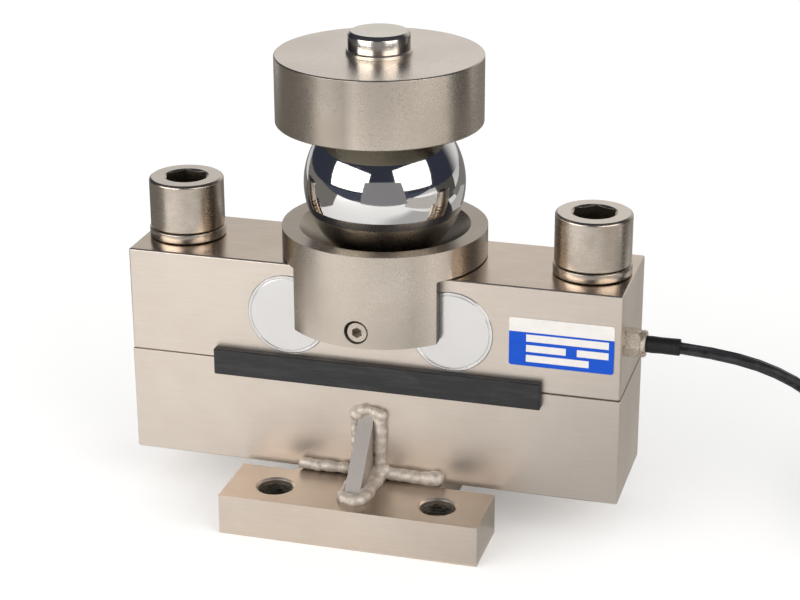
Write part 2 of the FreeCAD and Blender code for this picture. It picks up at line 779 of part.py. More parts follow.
def tangent_path(points):
    """Straight runs joined by arcs, each as large as its two runs allow. Also gives the radii."""
    edges = []
    radii = []
    last = points[0]
    for before, corner, after in zip(points, points[1:], points[2:]):
        run_in = (corner - before).Length
        run_out = (after - corner).Length
        towards = (corner - before).normalize()
        away = (after - corner).normalize()
        turn = towards.getAngle(away)
        trim = ARC_SHARE * min(run_in, run_out)
        radius = trim / math.tan(turn / 2)
        begin = corner - towards * trim
        end = corner + away * trim
        inward = (away - towards).normalize()
        middle = corner + inward * (radius / math.cos(turn / 2) - radius)
        edges.append(Part.LineSegment(last, begin).toShape())
        edges.append(Part.Arc(begin, middle, end).toShape())
        radii.append(radius)
        last = end
    edges.append(Part.LineSegment(last, points[-1]).toShape())
    return Part.Wire(edges), radii


# Cable from the gland to the coil: out of the beam's end, down, and along the floor
def make_cable_run():
    start = V(size("gland_end"), -size("wiring_offset"), size("wiring_level"))
    radius = size("cable_diameter") / 2
    landing = V(size("coil_x"), size("coil_y") - size("coil_outer_turn"), size("tie_thick") + radius)
    points = [start] + [start + V(*step) for step in CABLE_FALL] + [landing]
    path, radii = tangent_path(points)
    section = Part.Wire([Part.Circle(start, V(1, 0, 0), radius).toShape()])
    tube = path.makePipeShell([section], True, False)
    expected = math.pi * radius ** 2 * path.Length
    print("cable radii:", [round(r, 1) for r in radii])
    print("cable run:", round(path.Length, 1), "mm, volume ratio", round(tube.Volume / expected, 4))
    reach = tube.BoundBox.DiagonalLength
    beyond = Part.makeBox(reach, 2 * reach, 2 * reach, V(size("run_end"), -reach, -reach))
    run = doc.addObject("Part::Feature", "cable_run")
    run.Label = "cable_run"
    run.Shape = tube.cut(beyond)
    run.Placement = FreeCAD.Placement(V(0, 0, 0), FreeCAD.Rotation())
    return run


# Outer shape of the put-away coil, standing on its ties
def make_cable_coil():
    body = new_body("cable_coil", x="coil_x", y="coil_y", z="tie_thick")
    section = new_sketch(body, "XZ_Plane")
    rectangle(section, "coil_mean_diameter / 2 - coil_half_width", "coil_mean_diameter / 2 + coil_half_width",
              "0", "coil_layers * coil_pitch")
    add_revolution(body, section)
    add_edge_feature(body, "Fillet", "coil_corner", lambda edge: isinstance(edge.Curve, Part.Circle))
    return body


# Last stretch of the cable, lying on the coil
def make_cable_tail():
    tail = doc.addObject("Part::Torus", "cable_tail")
    tail.Label = "cable_tail"
    tail.Placement = FreeCAD.Placement(V(0, 0, 0), FreeCAD.Rotation(V(0, 0, 1), TAIL_START))
    bind(tail, "Radius1", "tail_radius")
    bind(tail, "Radius2", "cable_diameter / 2")
    bind(tail, "Angle3", "tail_angle")
    place(tail, "coil_x", "coil_y", "coil_top + cable_diameter / 2")
    return tail


# Bare cores beyond the end of the sheath, as one slim bundle
def make_core_leads():
    bundle = doc.addObject("Part::Cylinder", "core_leads")
    bundle.Label = "core_leads"
    end_turn = TAIL_START + size("tail_angle")
    bundle.Placement = FreeCAD.Placement(V(0, 0, 0), FreeCAD.Rotation(V(0, 0, 1), end_turn).multiply(ALONG_Y))
    bind(bundle, "Radius", "core_bundle / 2")
    bind(bundle, "Height", "core_length")
    angle = f"({TAIL_START} + tail_angle)"
    place(bundle, f"coil_x + tail_radius * cos({angle} * 1deg)", f"coil_y + tail_radius * sin({angle} * 1deg)",
          "coil_top + core_bundle / 2")
    return bundle


# Two flat ties round the coil's section
def make_coil_ties():
    body = new_body("coil_ties", x="coil_x", y="coil_y", turn=TIE_START)
    body.AllowCompound = True
    section = new_sketch(body, "XZ_Plane")
    inner = "coil_mean_diameter / 2 - coil_half_width"
    outer = "coil_mean_diameter / 2 + coil_half_width"
    rectangle(section, f"{inner} - tie_fit - tie_thick", f"{outer} + tie_fit + tie_thick", "0",
              "coil_top + tie_thick")
    rectangle(section, f"{inner} - tie_fit", f"{outer} + tie_fit", "tie_thick", "coil_top")
    loop = add_pad(body, section, "tie_width", symmetric=True)
    pair = add_ring(body, [loop], "Z_Axis")
    pair.Angle = TIE_SPREAD
    return body


make_load_beam()
make_base_block()
make_base_plate()
for end, turn in (("front", 0.0), ("rear", 180.0)):
    make_rib(f"rib_{end}", turn, "-rib_offset")
    make_weld(f"weld_{end}", turn, "-rib_offset")
make_mounting_bolts()
make_spring_washers()
make_ball_cup()
make_steel_ball()
make_load_cap()
make_cap_pin()
make_set_screws()

# Each pocket has a cover, a foil gauge on its floor and a small terminal board below the gauge
for end, turn, side in (("front", 0.0, "-"), ("rear", 180.0, "")):
    for hand, sign in (("left", "-"), ("right", "")):
        middle = f"{sign}pocket_span / 2"
        make_cover(f"cover_{end}_{hand}", turn, middle)
        gauge_face = "-pocket_floor - gauge_thick" if side else "pocket_floor"
        board_face = "-pocket_floor - board_thick" if side else "pocket_floor"
        make_box(f"gauge_{end}_{hand}", "gauge_length", "gauge_thick", "gauge_height",
                 f"{middle} - gauge_length / 2", gauge_face, "block_top + beam_height / 2 - gauge_height / 2")
        make_box(f"board_{end}_{hand}", "board_length", "board_thick", "board_height",
                 f"{middle} - board_length / 2", board_face,
                 "block_top + beam_height / 2 - board_drop - board_height")

# Leads in the bores: between the front pockets, through the two webs, and out to the gland
pocket_edge = "(pocket_span / 2 - pocket_diameter / 2)"
make_rod("link_wire", "link_wire_diameter", f"2 * {pocket_edge}", f"-{pocket_edge}", "-wiring_offset",
         "wiring_level", ALONG_X)
for hand, sign in (("left", "-"), ("right", "")):
    make_rod(f"web_wire_{hand}", "web_wire_diameter", "2 * pocket_floor",
             f"{sign}(pocket_span / 2 + web_bore_offset)", "-pocket_floor", "block_top + beam_height / 2", ALONG_Y)
make_rod("core_run", "core_run_diameter",
         "beam_length / 2 - gland_thread_length - pocket_span / 2 - pocket_diameter / 2",
         "pocket_span / 2 + pocket_diameter / 2", "-wiring_offset", "wiring_level", ALONG_X)

make_marker_strip()
make_rating_plate()
make_gland_body()
make_gland_collar()
make_gland_seal()
make_cable_sleeve()
doc.recompute()
make_cable_coil()
doc.recompute()
make_cable_run()
make_cable_tail()
make_core_leads()
make_coil_ties()
doc.recompute()

# Nothing is written unless every object is sound
for thing in doc.Objects:
    if "Invalid" in thing.State or "Error" in thing.State:
        raise RuntimeError(f"{thing.Label} failed: {thing.State}")
parts = [thing for thing in doc.Objects
         if thing.TypeId in ("PartDesign::Body", "Part::Box", "Part::Cylinder", "Part::Sphere",
                             "Part::Torus", "Part::Feature")]
for thing in parts:
    if thing.Shape.isNull() or not thing.Shape.isValid():
        raise RuntimeError(f"{thing.Label} has no sound shape")
for thing in parts:
    thing.Shape.exportStep(f"parts/{thing.Label}.step")
    box = thing.Shape.BoundBox
    print(f"{thing.Label:20s} solids {len(thing.Shape.Solids)}  volume {thing.Shape.Volume / 1000:9.2f} cm3  "
          f"x {box.XMin:.1f}..{box.XMax:.1f}  y {box.YMin:.1f}..{box.YMax:.1f}  z {box.ZMin:.1f}..{box.ZMax:.1f}")
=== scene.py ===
# %% [markdown]
# A weighing load cell in Blender
#
# The real object is a steel measuring beam for weighbridges. Its solid model is the fixed frame of this scene, in
# metres, with X along the beam, Z up and the load axis on the Z axis. This lesson dresses that frame: it re-makes
# the parts whose edges and finish the eye reads closely, and gives every part a finish made of nodes.

# %% Load the frame
import bpy
import json
import random
from math import cos, pi, radians, sin, sqrt
from mathutils import Matrix, Vector

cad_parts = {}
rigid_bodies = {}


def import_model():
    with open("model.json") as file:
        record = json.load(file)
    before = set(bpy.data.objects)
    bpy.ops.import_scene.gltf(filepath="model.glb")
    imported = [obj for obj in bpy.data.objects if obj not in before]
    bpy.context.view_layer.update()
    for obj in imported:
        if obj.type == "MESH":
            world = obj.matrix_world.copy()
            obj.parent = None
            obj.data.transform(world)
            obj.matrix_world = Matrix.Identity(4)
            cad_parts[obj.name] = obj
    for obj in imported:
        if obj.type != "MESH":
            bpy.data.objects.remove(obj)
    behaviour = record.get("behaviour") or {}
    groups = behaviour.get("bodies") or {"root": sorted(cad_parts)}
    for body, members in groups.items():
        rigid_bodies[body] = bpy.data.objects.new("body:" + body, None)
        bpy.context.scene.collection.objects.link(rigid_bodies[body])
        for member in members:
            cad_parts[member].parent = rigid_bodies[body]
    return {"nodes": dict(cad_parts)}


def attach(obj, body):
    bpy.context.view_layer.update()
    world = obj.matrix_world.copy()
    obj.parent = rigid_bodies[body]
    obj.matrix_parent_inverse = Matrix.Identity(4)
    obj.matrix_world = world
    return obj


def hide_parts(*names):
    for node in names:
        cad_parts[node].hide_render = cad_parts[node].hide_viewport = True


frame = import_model()
ops = bpy.ops.object
mesh = bpy.ops.mesh
nodes = frame["nodes"]
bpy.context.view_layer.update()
ops.select_all(action="DESELECT")
print("solid parts:", len(nodes))

# %% [markdown]
# The camera stands where the photographer stood: a little to the right, a little above, with a long lens. Its place
# came from matching the outline of the beam, the ball and the screw heads, so it is given as a point and three
# turns.

# %% Camera
MM = 0.001


def toward(azimuth, elevation):
    """A direction out from the load cell: so many degrees round from the front, and so many up."""
    a = radians(azimuth)
    e = radians(elevation)
    return Vector((sin(a) * cos(e), -cos(a) * cos(e), sin(e)))


def link(thing):
    bpy.context.scene.collection.objects.link(thing)


def place_camera(eye, azimuth, elevation, roll, lens):
    """A camera at a point, turned as a photographer would say it: round, down and tilted, in degrees."""
    data = bpy.data.cameras.new("camera")
    data.lens = lens
    data.sensor_width = 36
    data.clip_start = 0.05
    data.clip_end = 20
    camera = bpy.data.objects.new("camera", data)
    camera.rotation_mode = "QUATERNION"
    look = (-toward(azimuth, elevation)).to_track_quat("-Z", "Y")
    camera.rotation_quaternion = look @ Matrix.Rotation(radians(roll), 4, "Z").to_quaternion()
    camera.location = Vector(eye) * MM
    link(camera)
    bpy.context.scene.camera = camera
    return camera


camera = place_camera(eye=(262.1, -884.9, 464.9), azimuth=16.07, elevation=21.59, roll=-0.21, lens=93.04)
print("camera at", [round(v, 3) for v in camera.location])

# %% [markdown]
# The cable is a single black lead, 5.5 mm thick and about 12 m long, as such cells are sold. It leaves the gland
# straight, dips to the floor, and the length that nobody needs yet is wound into a neat tied coil. A NURBS curve is
# the natural tool: a few listed points for the fall, and sixteen points a turn for the coil. Each layer of
# turns winds inward or outward on the one below, and climbs to the next layer during its last turn, where it has no
# neighbour on one side.

# %% Route of the cable
CABLE_RADIUS = 2.75
GLAND_MOUTH = (129.25, -17.0, 98.3)
CABLE_FALL = [
    (33.75, -0.2, -0.1), (68.75, -1.6, -8.8), (93.75, -4.0, -28.3), (107.25, -7.0, -54.8),
    (122.75, -11.0, -79.8), (145.25, -15.6, -95.3),
]
COIL_CENTRE = (298.0, 30.0)
COIL_BOTTOM = 0.8
OUTER_TURN = 64.33
INNER_TURN = 34.67
PITCH = 5.65
LAYERS = 6
TURNS_IN_LAYER = 6.25
POINTS_IN_TURN = 16
TAIL_TURN = 58.7
TAIL_SWEEP = 150
TAIL_POINTS = 9


def round_coil(angle, radius, height):
    """A control point about the coil's axis. It stands off a little, because a curve cuts its corners."""
    reach = radius / cos(pi / POINTS_IN_TURN)
    return (COIL_CENTRE[0] + reach * cos(angle), COIL_CENTRE[1] + reach * sin(angle), height)


def coil_points():
    """Control points of all the turns, layer on layer, and of the free end that lies on top."""
    points = []
    level = COIL_BOTTOM + CABLE_RADIUS
    steps = int(TURNS_IN_LAYER * POINTS_IN_TURN)
    for layer in range(LAYERS):
        inwards = layer % 2 == 0
        for step in range(steps):
            turn = step / POINTS_IN_TURN
            share = min(max((turn - 0.5) / (TURNS_IN_LAYER - 1), 0.0), 1.0)
            radius = OUTER_TURN - (OUTER_TURN - INNER_TURN) * (share if inwards else 1 - share)
            leaving = max(turn - (TURNS_IN_LAYER - 0.5), 0.0)
            arriving = max(0.5 - turn, 0.0)
            climb = 0.0
            if leaving > 0 and layer < LAYERS - 1:
                climb = 0.5 * sin(pi / 2 * leaving * 2) ** 0.9
            if arriving > 0 and layer > 0:
                climb = -0.5 + 0.5 * sin(pi / 2 * (1 - arriving * 2))
            angle = radians(-90) + 2 * pi * (layer * TURNS_IN_LAYER + turn)
            points.append(round_coil(angle, radius, level + PITCH * (layer + climb)))
    top = level + PITCH * LAYERS
    for step in range(TAIL_POINTS):
        angle = radians(90 + TAIL_SWEEP * step / (TAIL_POINTS - 1))
        share = min(step / 3, 1.0)
        radius = OUTER_TURN + (TAIL_TURN - OUTER_TURN) * share
        points.append(round_coil(angle, radius, top - PITCH * (1 - share) ** 2))
    return points


fall = [GLAND_MOUTH] + [tuple(a + b for a, b in zip(GLAND_MOUTH, step)) for step in CABLE_FALL]
route = fall + coil_points()
print("cable route:", len(route), "points")

# %% [markdown]
# The bevel is 1 and each control point carries the cable's radius in metres. A curve's box grows by the radius of
# its points, so this keeps the box as tight as the cable.

# %% Cable
def nurbs_cable(name, points, radius):
    """A round lead along control points in millimetres."""
    curve = bpy.data.curves.new(name, "CURVE")
    curve.dimensions = "3D"
    curve.bevel_depth = 1.0
    curve.bevel_resolution = 3
    curve.resolution_u = 4
    curve.use_fill_caps = True
    spline = curve.splines.new("NURBS")
    spline.points.add(len(points) - 1)
    for spot, point in zip(spline.points, points):
        spot.co = (*(c * MM for c in point), 1)
        spot.radius = radius * MM
    spline.order_u = 3
    spline.use_endpoint_u = True
    cable = bpy.data.objects.new(name, curve)
    link(cable)
    return cable


cable = nurbs_cable("cable", route, CABLE_RADIUS)
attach(cable, "root")
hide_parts("cable_run", "cable_coil", "cable_tail")
bpy.context.view_layer.update()

# %% [markdown]
# Most parts of this cell came off a lathe. A lathe part is drawn as half an outline and spun round its axis, which
# is what the spin tool does: one vertex is extruded from corner to corner of the outline, and the line is turned
# through a circle.

# %% Tools for turned and cut parts
def begin(name):
    """Name the primitive that was just added."""
    piece = bpy.context.object
    piece.name = name
    piece.data.name = name
    return piece


def only(piece):
    """Select one piece and make it the active one."""
    ops.select_all(action="DESELECT")
    piece.select_set(True)
    bpy.context.view_layer.objects.active = piece


def apply_place(piece):
    """Keep a piece's place, turn and size in its mesh."""
    only(piece)
    ops.transform_apply(location=True, rotation=True, scale=True)


def turned(name, outline, steps=128):
    """A lathe part about the Z axis from its half outline, pairs of radius and level in millimetres."""
    mesh.primitive_plane_add(size=MM)
    piece = begin(name)
    bpy.context.scene.tool_settings.mesh_select_mode = (True, False, False)
    ops.mode_set(mode="EDIT")
    mesh.merge(type="CENTER")
    bpy.ops.transform.translate(value=(outline[0][0] * MM, 0, outline[0][1] * MM))
    for (r0, z0), (r1, z1) in zip(outline, outline[1:]):
        mesh.extrude_vertices_move(TRANSFORM_OT_translate={"value": ((r1 - r0) * MM, 0, (z1 - z0) * MM)})
    mesh.select_all(action="SELECT")
    mesh.spin(steps=steps, angle=2 * pi, center=(0, 0, 0), axis=(0, 0, 1))
    mesh.select_all(action="SELECT")
    mesh.remove_doubles(threshold=1e-6)
    mesh.normals_make_consistent(inside=False)
    ops.mode_set(mode="OBJECT")
    return piece


def stand(piece, place, turn=(0, 0, 0)):
    """Put a piece made at the origin where it belongs, and keep that place in its mesh."""
    piece.location = Vector(place) * MM
    piece.rotation_mode = "XYZ"
    piece.rotation_euler = [radians(t) for t in turn]
    apply_place(piece)
    return piece


def block(name, low, high):
    """A cube stretched between two corners."""
    middle = [(a + b) / 2 * MM for a, b in zip(low, high)]
    mesh.primitive_cube_add(size=1, location=middle)
    piece = begin(name)
    piece.scale = [(b - a) * MM for a, b in zip(low, high)]
    apply_place(piece)
    return piece


def quad(name, corners):
    """A single face with four corners in metres, given in order round it."""
    mesh.primitive_plane_add(size=1)
    piece = begin(name)
    for corner, place in zip(piece.data.vertices, (corners[0], corners[1], corners[3], corners[2])):
        corner.co = place
    return piece


def rod(name, radius, start, end, sides):
    """A round or many-sided bar between two points."""
    start, end = Vector(start), Vector(end)
    mesh.primitive_cylinder_add(vertices=sides, radius=radius * MM, depth=(end - start).length * MM)
    piece = begin(name)
    piece.rotation_mode = "QUATERNION"
    piece.rotation_quaternion = (end - start).to_track_quat("Z", "Y")
    piece.location = (start + end) / 2 * MM
    apply_place(piece)
    return piece


def modified(piece, kind, **settings):
    """Put a modifier with its settings on a piece, and apply it."""
    only(piece)
    change = piece.modifiers.new(kind, kind)
    for key, value in settings.items():
        setattr(change, key, value)
    ops.modifier_apply(modifier=kind)
    return piece


def combine(piece, tool, how="DIFFERENCE"):
    """Cut, join or trim a piece with another shape, which is used up."""
    modified(piece, "BOOLEAN", object=tool, operation=how, solver="EXACT")
    bpy.data.objects.remove(tool)
    return piece


def soften(piece, width, segments=2, angle=30):
    """Break the sharp edges and shade the rest smooth."""
    only(piece)
    ops.shade_smooth()
    return modified(piece, "BEVEL", width=width * MM, segments=segments, limit_method="ANGLE",
                    angle_limit=radians(angle), harden_normals=True, use_clamp_overlap=True)


def joined(name, pieces):
    """One piece from several."""
    ops.select_all(action="DESELECT")
    for piece in pieces:
        piece.select_set(True)
    bpy.context.view_layer.objects.active = pieces[0]
    ops.join()
    return begin(name)


def copy_of(piece, name):
    """A second piece with its own mesh."""
    twin = piece.copy()
    twin.data = piece.data.copy()
    twin.name = name
    link(twin)
    return twin


def settle(piece, slot, *stands_for):
    """Attach the piece to the root body and hide the solids it stands for; slot is not used."""
    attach(piece, "root")
    if stands_for:
        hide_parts(*stands_for)
    print(piece.name, "faces:", len(piece.data.polygons))
    return piece


# %% [markdown]
# The cap is a thick disc that floats on the ball. Its underside has a shallow dish, and a low boss on top carries
# the locating pin. The dish is an arc of a 56 mm ball, so its outline points are worked out and not guessed.

# %% Cap and pin
BEAM_TOP = 124.5
DISH = 56.0
CAP_X = -2.3
CAP_LOW = 189.248
CAP_TOP = 221.548


def arc(centre_level, low_radius, high_radius, below, count=14):
    """Outline points on a dish, from one radius to another."""
    points = []
    for i in range(count + 1):
        r = low_radius + (high_radius - low_radius) * i / count
        drop = sqrt(DISH ** 2 - r ** 2)
        points.append((r, centre_level - drop if below else centre_level + drop))
    return points


cap = turned("cap_disc", arc(CAP_LOW + 8.8 - DISH, 0, 30.14, below=False) + [
    (48.2, CAP_LOW), (48.7, CAP_LOW + 0.5), (48.7, CAP_TOP - 0.5), (48.2, CAP_TOP),
    (15.5, CAP_TOP), (15.4, CAP_TOP + 1.5), (14.9, CAP_TOP + 2.0), (14.0, CAP_TOP + 2.0),
    (14.0, CAP_TOP - 8.0), (0, CAP_TOP - 8.0),
], steps=192)
soften(stand(cap, (CAP_X, 0, 0)), 0.12)
settle(cap, "turned_seat", "load_cap")

pin = turned("locating_pin", [
    (0, CAP_TOP - 8), (14.0, CAP_TOP - 8), (14.0, CAP_TOP + 2.0), (14.5, CAP_TOP + 2.0),
    (14.5, CAP_TOP + 8.6), (14.4, CAP_TOP + 8.9), (13.3, CAP_TOP + 10.3), (13.1, CAP_TOP + 10.5), (0, CAP_TOP + 10.5),
])
soften(stand(pin, (CAP_X, 0, 0)), 0.18)
settle(pin, "bolt_steel", "cap_pin")

# %% [markdown]
# The ball is a bearing ball, as round as anything on earth. A cube that is divided evenly and cast to a sphere has
# even faces all over, without the pinched poles of a globe, so its mirror finish stays clean.

# %% Ball
BALL_RADIUS = 38.1
BALL_LEVEL = 159.8
mesh.primitive_cube_add(size=2 * BALL_RADIUS * MM, location=(0, 0, 0))
ball = begin("bearing_ball")
ops.mode_set(mode="EDIT")
mesh.select_all(action="SELECT")
mesh.subdivide(number_cuts=39)
ops.mode_set(mode="OBJECT")
modified(ball, "CAST", cast_type="SPHERE", factor=1.0, use_radius_as_size=False, size=BALL_RADIUS * MM)
ops.shade_smooth()
stand(ball, (0, 0, BALL_LEVEL))
centre = Vector((0, 0, BALL_LEVEL * MM))
print("ball radius:", round(max((v.co - centre).length for v in ball.data.vertices), 5))
settle(ball, "ball_steel", "steel_ball")

# %% [markdown]
# The cup starts as a lathe part too. Two cuts then turn its lower half into cheeks: one clears the sides, so that
# each cheek is a flat-sided segment, and one opens the slot that straddles the beam, leaving a key for the saddle.
# Beside the saddle the cup clears the beam's top by a hair, which shows as a thin dark line.

# %% Cup
CUP_RIM = 139.2
CUP_LOW = 94.4
CHEEK_EDGE = 34.5
SLOT_HALF = 29.25
TOP_GAP = 0.6
SET_SCREW_LEVEL = 102.2
BEYOND = 60
cup = turned("cup_seat", arc(CUP_RIM - 17.5 + DISH, 0, 40.67, below=True, count=20) + [
    (41.1, CUP_RIM), (48.8, CUP_RIM), (48.8, CUP_LOW), (0, CUP_LOW),
], steps=192)
for side in (-1, 1):
    left, right = sorted((side * CHEEK_EDGE, side * BEYOND))
    combine(cup, block("clear", (left, -BEYOND, 80), (right, BEYOND, BEAM_TOP + TOP_GAP)))
slot = block("slot", (-BEYOND, -SLOT_HALF, 80), (BEYOND, SLOT_HALF, BEAM_TOP))
combine(slot, block("key", (-25.75, -40, 113.75), (25.75, 40, 140)))
combine(cup, slot)
for side in (-1, 1):
    tool = turned("screw_hole", [(0, 25), (4.65, 25), (4.65, 46.2), (5.7, 46.2), (5.7, 55), (0, 55)], steps=64)
    combine(cup, stand(tool, (0, 0, SET_SCREW_LEVEL), (side * -90, 0, 0)))
soften(cup, 0.3)
settle(cup, "turned_seat", "ball_cup")

# %% [markdown]
# Socket-head screws are forged and turned: a smooth head with a broad chamfer, a countersunk mouth, and a hexagon
# for the key. The hexagon is a six-sided bar that is subtracted. A cone is subtracted at its mouth, as wide as the
# hexagon is across its corners, so the six flats end in arcs and the corners in points. One screw is made and copied
# to the other end.

# %% Mounting screws
SCREW_X = 100
HEAD_LOW = 129.9
HEAD_TOP = 153.9
screw = turned("mounting_screw", [
    (0, 39.9), (10.8, 39.9), (12.0, 41.1), (12.0, HEAD_LOW), (17.5, HEAD_LOW), (18.0, HEAD_LOW + 0.5),
    (18.0, HEAD_TOP - 1.5), (18.0, HEAD_TOP - 1.2), (17.7, HEAD_TOP - 0.6), (16.9, HEAD_TOP), (0, HEAD_TOP),
])
combine(screw, rod("hexagon", 19 / sqrt(3), (0, 0, HEAD_TOP - 12), (0, 0, HEAD_TOP + 2), sides=6))
MOUTH = [(0, HEAD_TOP - 0.95), (9.4, HEAD_TOP - 0.95), (12.4, HEAD_TOP + 1), (0, HEAD_TOP + 1)]
combine(screw, turned("mouth", MOUTH, steps=96))
soften(screw, 0.2)
right_screw = copy_of(screw, "screw_right")
left_screw = stand(screw, (-SCREW_X, 0, 0), (0, 0, 22))
stand(right_screw, (SCREW_X, 0, 0), (0, 0, 5))
screws = joined("mounting_screws", [left_screw, right_screw])
settle(screws, "bolt_steel", "mounting_bolts")

# %% [markdown]
# A spring washer is one coil of square wire, cut and sprung open. The Screw modifier winds the section almost once
# round and lifts it a little as it goes, so the top slopes and one side shows a thin gap under the head.

# %% Spring washers
WASHER_TURN = 353


def wound(name, corners, turn, lift, steps, rounds=1, rounding=0.0):
    """A closed section of (radius, level) millimetre corners, wound round the vertical axis and shut at both ends."""
    piece = quad(name, [(radius * MM, 0, level * MM) for radius, level in corners])
    bpy.context.scene.tool_settings.mesh_select_mode = (True, False, False)
    ops.mode_set(mode="EDIT")
    mesh.select_all(action="SELECT")
    if rounding:
        mesh.bevel(offset=rounding * MM, segments=3, affect="VERTICES")
    mesh.select_all(action="SELECT")
    mesh.delete(type="ONLY_FACE")
    ops.mode_set(mode="OBJECT")
    modified(piece, "SCREW", axis="Z", angle=radians(turn), screw_offset=lift * MM, iterations=rounds, steps=steps,
             render_steps=steps)
    ops.mode_set(mode="EDIT")
    mesh.select_all(action="SELECT")
    mesh.remove_doubles(threshold=1e-6)
    mesh.fill_holes(sides=0)
    mesh.select_all(action="SELECT")
    mesh.normals_make_consistent(inside=False)
    ops.mode_set(mode="OBJECT")
    ops.shade_smooth_by_angle(angle=radians(35))
    print(name, "wound:", len(piece.data.polygons), "faces")
    return piece


def spring_washer(name, place, split_at):
    """One sprung coil of square wire, its cut turned to the asked angle."""
    ring = wound(name, [(12.3, 0.05), (18.5, 0.05), (18.5, 4.6), (12.3, 4.6)], WASHER_TURN, 0.65, 120, rounding=0.5)
    return stand(ring, place, (0, 0, split_at))


washers = joined("spring_washer_pair", [
    spring_washer("washer_left", (-SCREW_X, 0, BEAM_TOP), 95),
    spring_washer("washer_right", (SCREW_X, 0, BEAM_TOP), 80),
])
settle(washers, "bolt_steel", "spring_washers")

# %% [markdown]
# The gauge pockets are shut by thin pressed discs with a rolled rim. Four are alike, so one is spun lying down, and
# its copies are stood up against the beam's faces.

# %% Pocket covers
BEAM_SIDE = 28.25
disc = turned("cover_disc", [
    (0, -1.2), (19.7, -1.2), (19.7, 0.15), (19.5, 0.32), (19.2, 0.35), (18.8, 0.35), (18.55, 0.3), (18.4, 0.12),
    (18.1, 0.12), (17.9, 0.25), (0, 0.25),
])
soften(disc, 0.05, segments=1)
for end, side, tilt in (("front", -1, 90), ("rear", 1, -90)):
    for hand, across in (("left", -40), ("right", 40)):
        cover = stand(copy_of(disc, f"pocket_cover_{end}_{hand}"), (across, side * BEAM_SIDE, 98.75), (tilt, 0, 0))
        settle(cover, "cover_sheet", f"cover_{end}_{hand}")
bpy.data.objects.remove(disc)

# %% [markdown]
# The set screws in the cheeks have a key hole in their outer end. That end is a little larger than the thread, and
# it lies low in its hole, so a dark crescent shows above it.

# %% Set screws
plug = turned("set_screw", [
    (0, 0), (4.0, 0), (4.0, 17.97), (5.0, 17.97), (5.0, 19.2), (4.6, 19.6), (0, 19.6),
], steps=64)
combine(plug, rod("key", 2.6, (0, 0, 14.7), (0, 0, 22), sides=6))
soften(plug, 0.12)
rear_plug = stand(copy_of(plug, "set_screw_rear"), (-0.3, BEAM_SIDE, 101.8), (-90, 0, 0))
front_plug = stand(plug, (0.3, -BEAM_SIDE, 101.8), (90, 0, 0))
settle(joined("grub_screws", [front_plug, rear_plug]), "bolt_steel", "set_screws")

# %% [markdown]
# The foot plate is box modelling: the neck is a block, its two ends are pulled out, and the sides of each end are
# pulled out again to make the wings. The tapped holes are bored to the thread's outer size, and the thread itself is
# a ridge that the Screw modifier winds inside them.

# %% Foot plate
def pick_faces(piece, wanted):
    """Select the faces whose middle (in millimetres) and normal pass the test, and enter edit mode."""
    only(piece)
    bpy.context.scene.tool_settings.mesh_select_mode = (False, False, True)
    ops.mode_set(mode="EDIT")
    mesh.select_all(action="DESELECT")
    ops.mode_set(mode="OBJECT")
    for face in piece.data.polygons:
        face.select = wanted(face.center / MM, face.normal)
    ops.mode_set(mode="EDIT")


def pull(piece, wanted, move):
    """Extrude the picked faces by a move in millimetres."""
    pick_faces(piece, wanted)
    mesh.extrude_region_move(TRANSFORM_OT_translate={"value": [m * MM for m in move]})
    ops.mode_set(mode="OBJECT")


NECK_HALF = 36
WING_LENGTH = 27
WING_INNER = 32.9
WING_OUTER = 68.25
HOLE_X, HOLE_Y = 40, 51.9
plate = block("foot_plate", (-NECK_HALF, -WING_INNER, 0), (NECK_HALF, WING_INNER, 20))
for side in (-1, 1):
    pull(plate, lambda c, n: n.y * side > 0.9 and c.y * side > WING_INNER - 1,
         (0, side * (WING_OUTER - WING_INNER), 0))
    for hand in (-1, 1):
        pull(plate, lambda c, n: n.x * hand > 0.9 and c.y * side > WING_INNER, (hand * WING_LENGTH, 0, 0))
holes = [(x, y) for x in (-HOLE_X, HOLE_X) for y in (-HOLE_Y, HOLE_Y)]
TAP = [(0, -1), (8.95, -1), (8.95, 17.6), (8.35, 18.2), (8.35, 19.1), (9.35, 20.1), (9.35, 21), (0, 21)]
combine(plate, joined("taps", [stand(turned("tap", TAP, steps=96), (x, y, 0)) for x, y in holes]))
soften(plate, 0.35)
settle(plate, "plated_body", "base_plate")

# %% Threads in the foot plate
THREAD_PITCH = 1.5
THREAD_ROUNDS = 11


def thread_ridge(name, place):
    """A triangular ridge wound down the wall of a tapped hole."""
    ridge = wound(name, [(8.2, 0.7), (9.0, 0.1), (9.0, 1.4), (8.2, 0.8)], 360, THREAD_PITCH, 48, rounds=THREAD_ROUNDS)
    return stand(ridge, place)


threads = joined("foot_threads", [thread_ridge("thread", (x, y, 0.1)) for x, y in holes])
settle(threads, "plated_body")

# %% [markdown]
# A weld is a row of frozen puddles. Metaballs are just that: soft blobs that run into each other. They are strung
# along each seam with small seeded changes of size and place, then turned into one mesh. Blender doesn't divide
# metaballs finer than 5 mm, so the bead is made a hundred times too large and shrunk.

# %% Weld puddles
RIB_LOW, RIB_HIGH = -5.0, 2.6
BLOW_UP = 100


def seam(start, end, size, step):
    """Puddle centres and sizes from one point to another, front side, in millimetres."""
    start, end = Vector(start), Vector(end)
    count = max(2, round((end - start).length / step))
    return [(*start.lerp(end, i / (count - 1)), size) for i in range(count)]


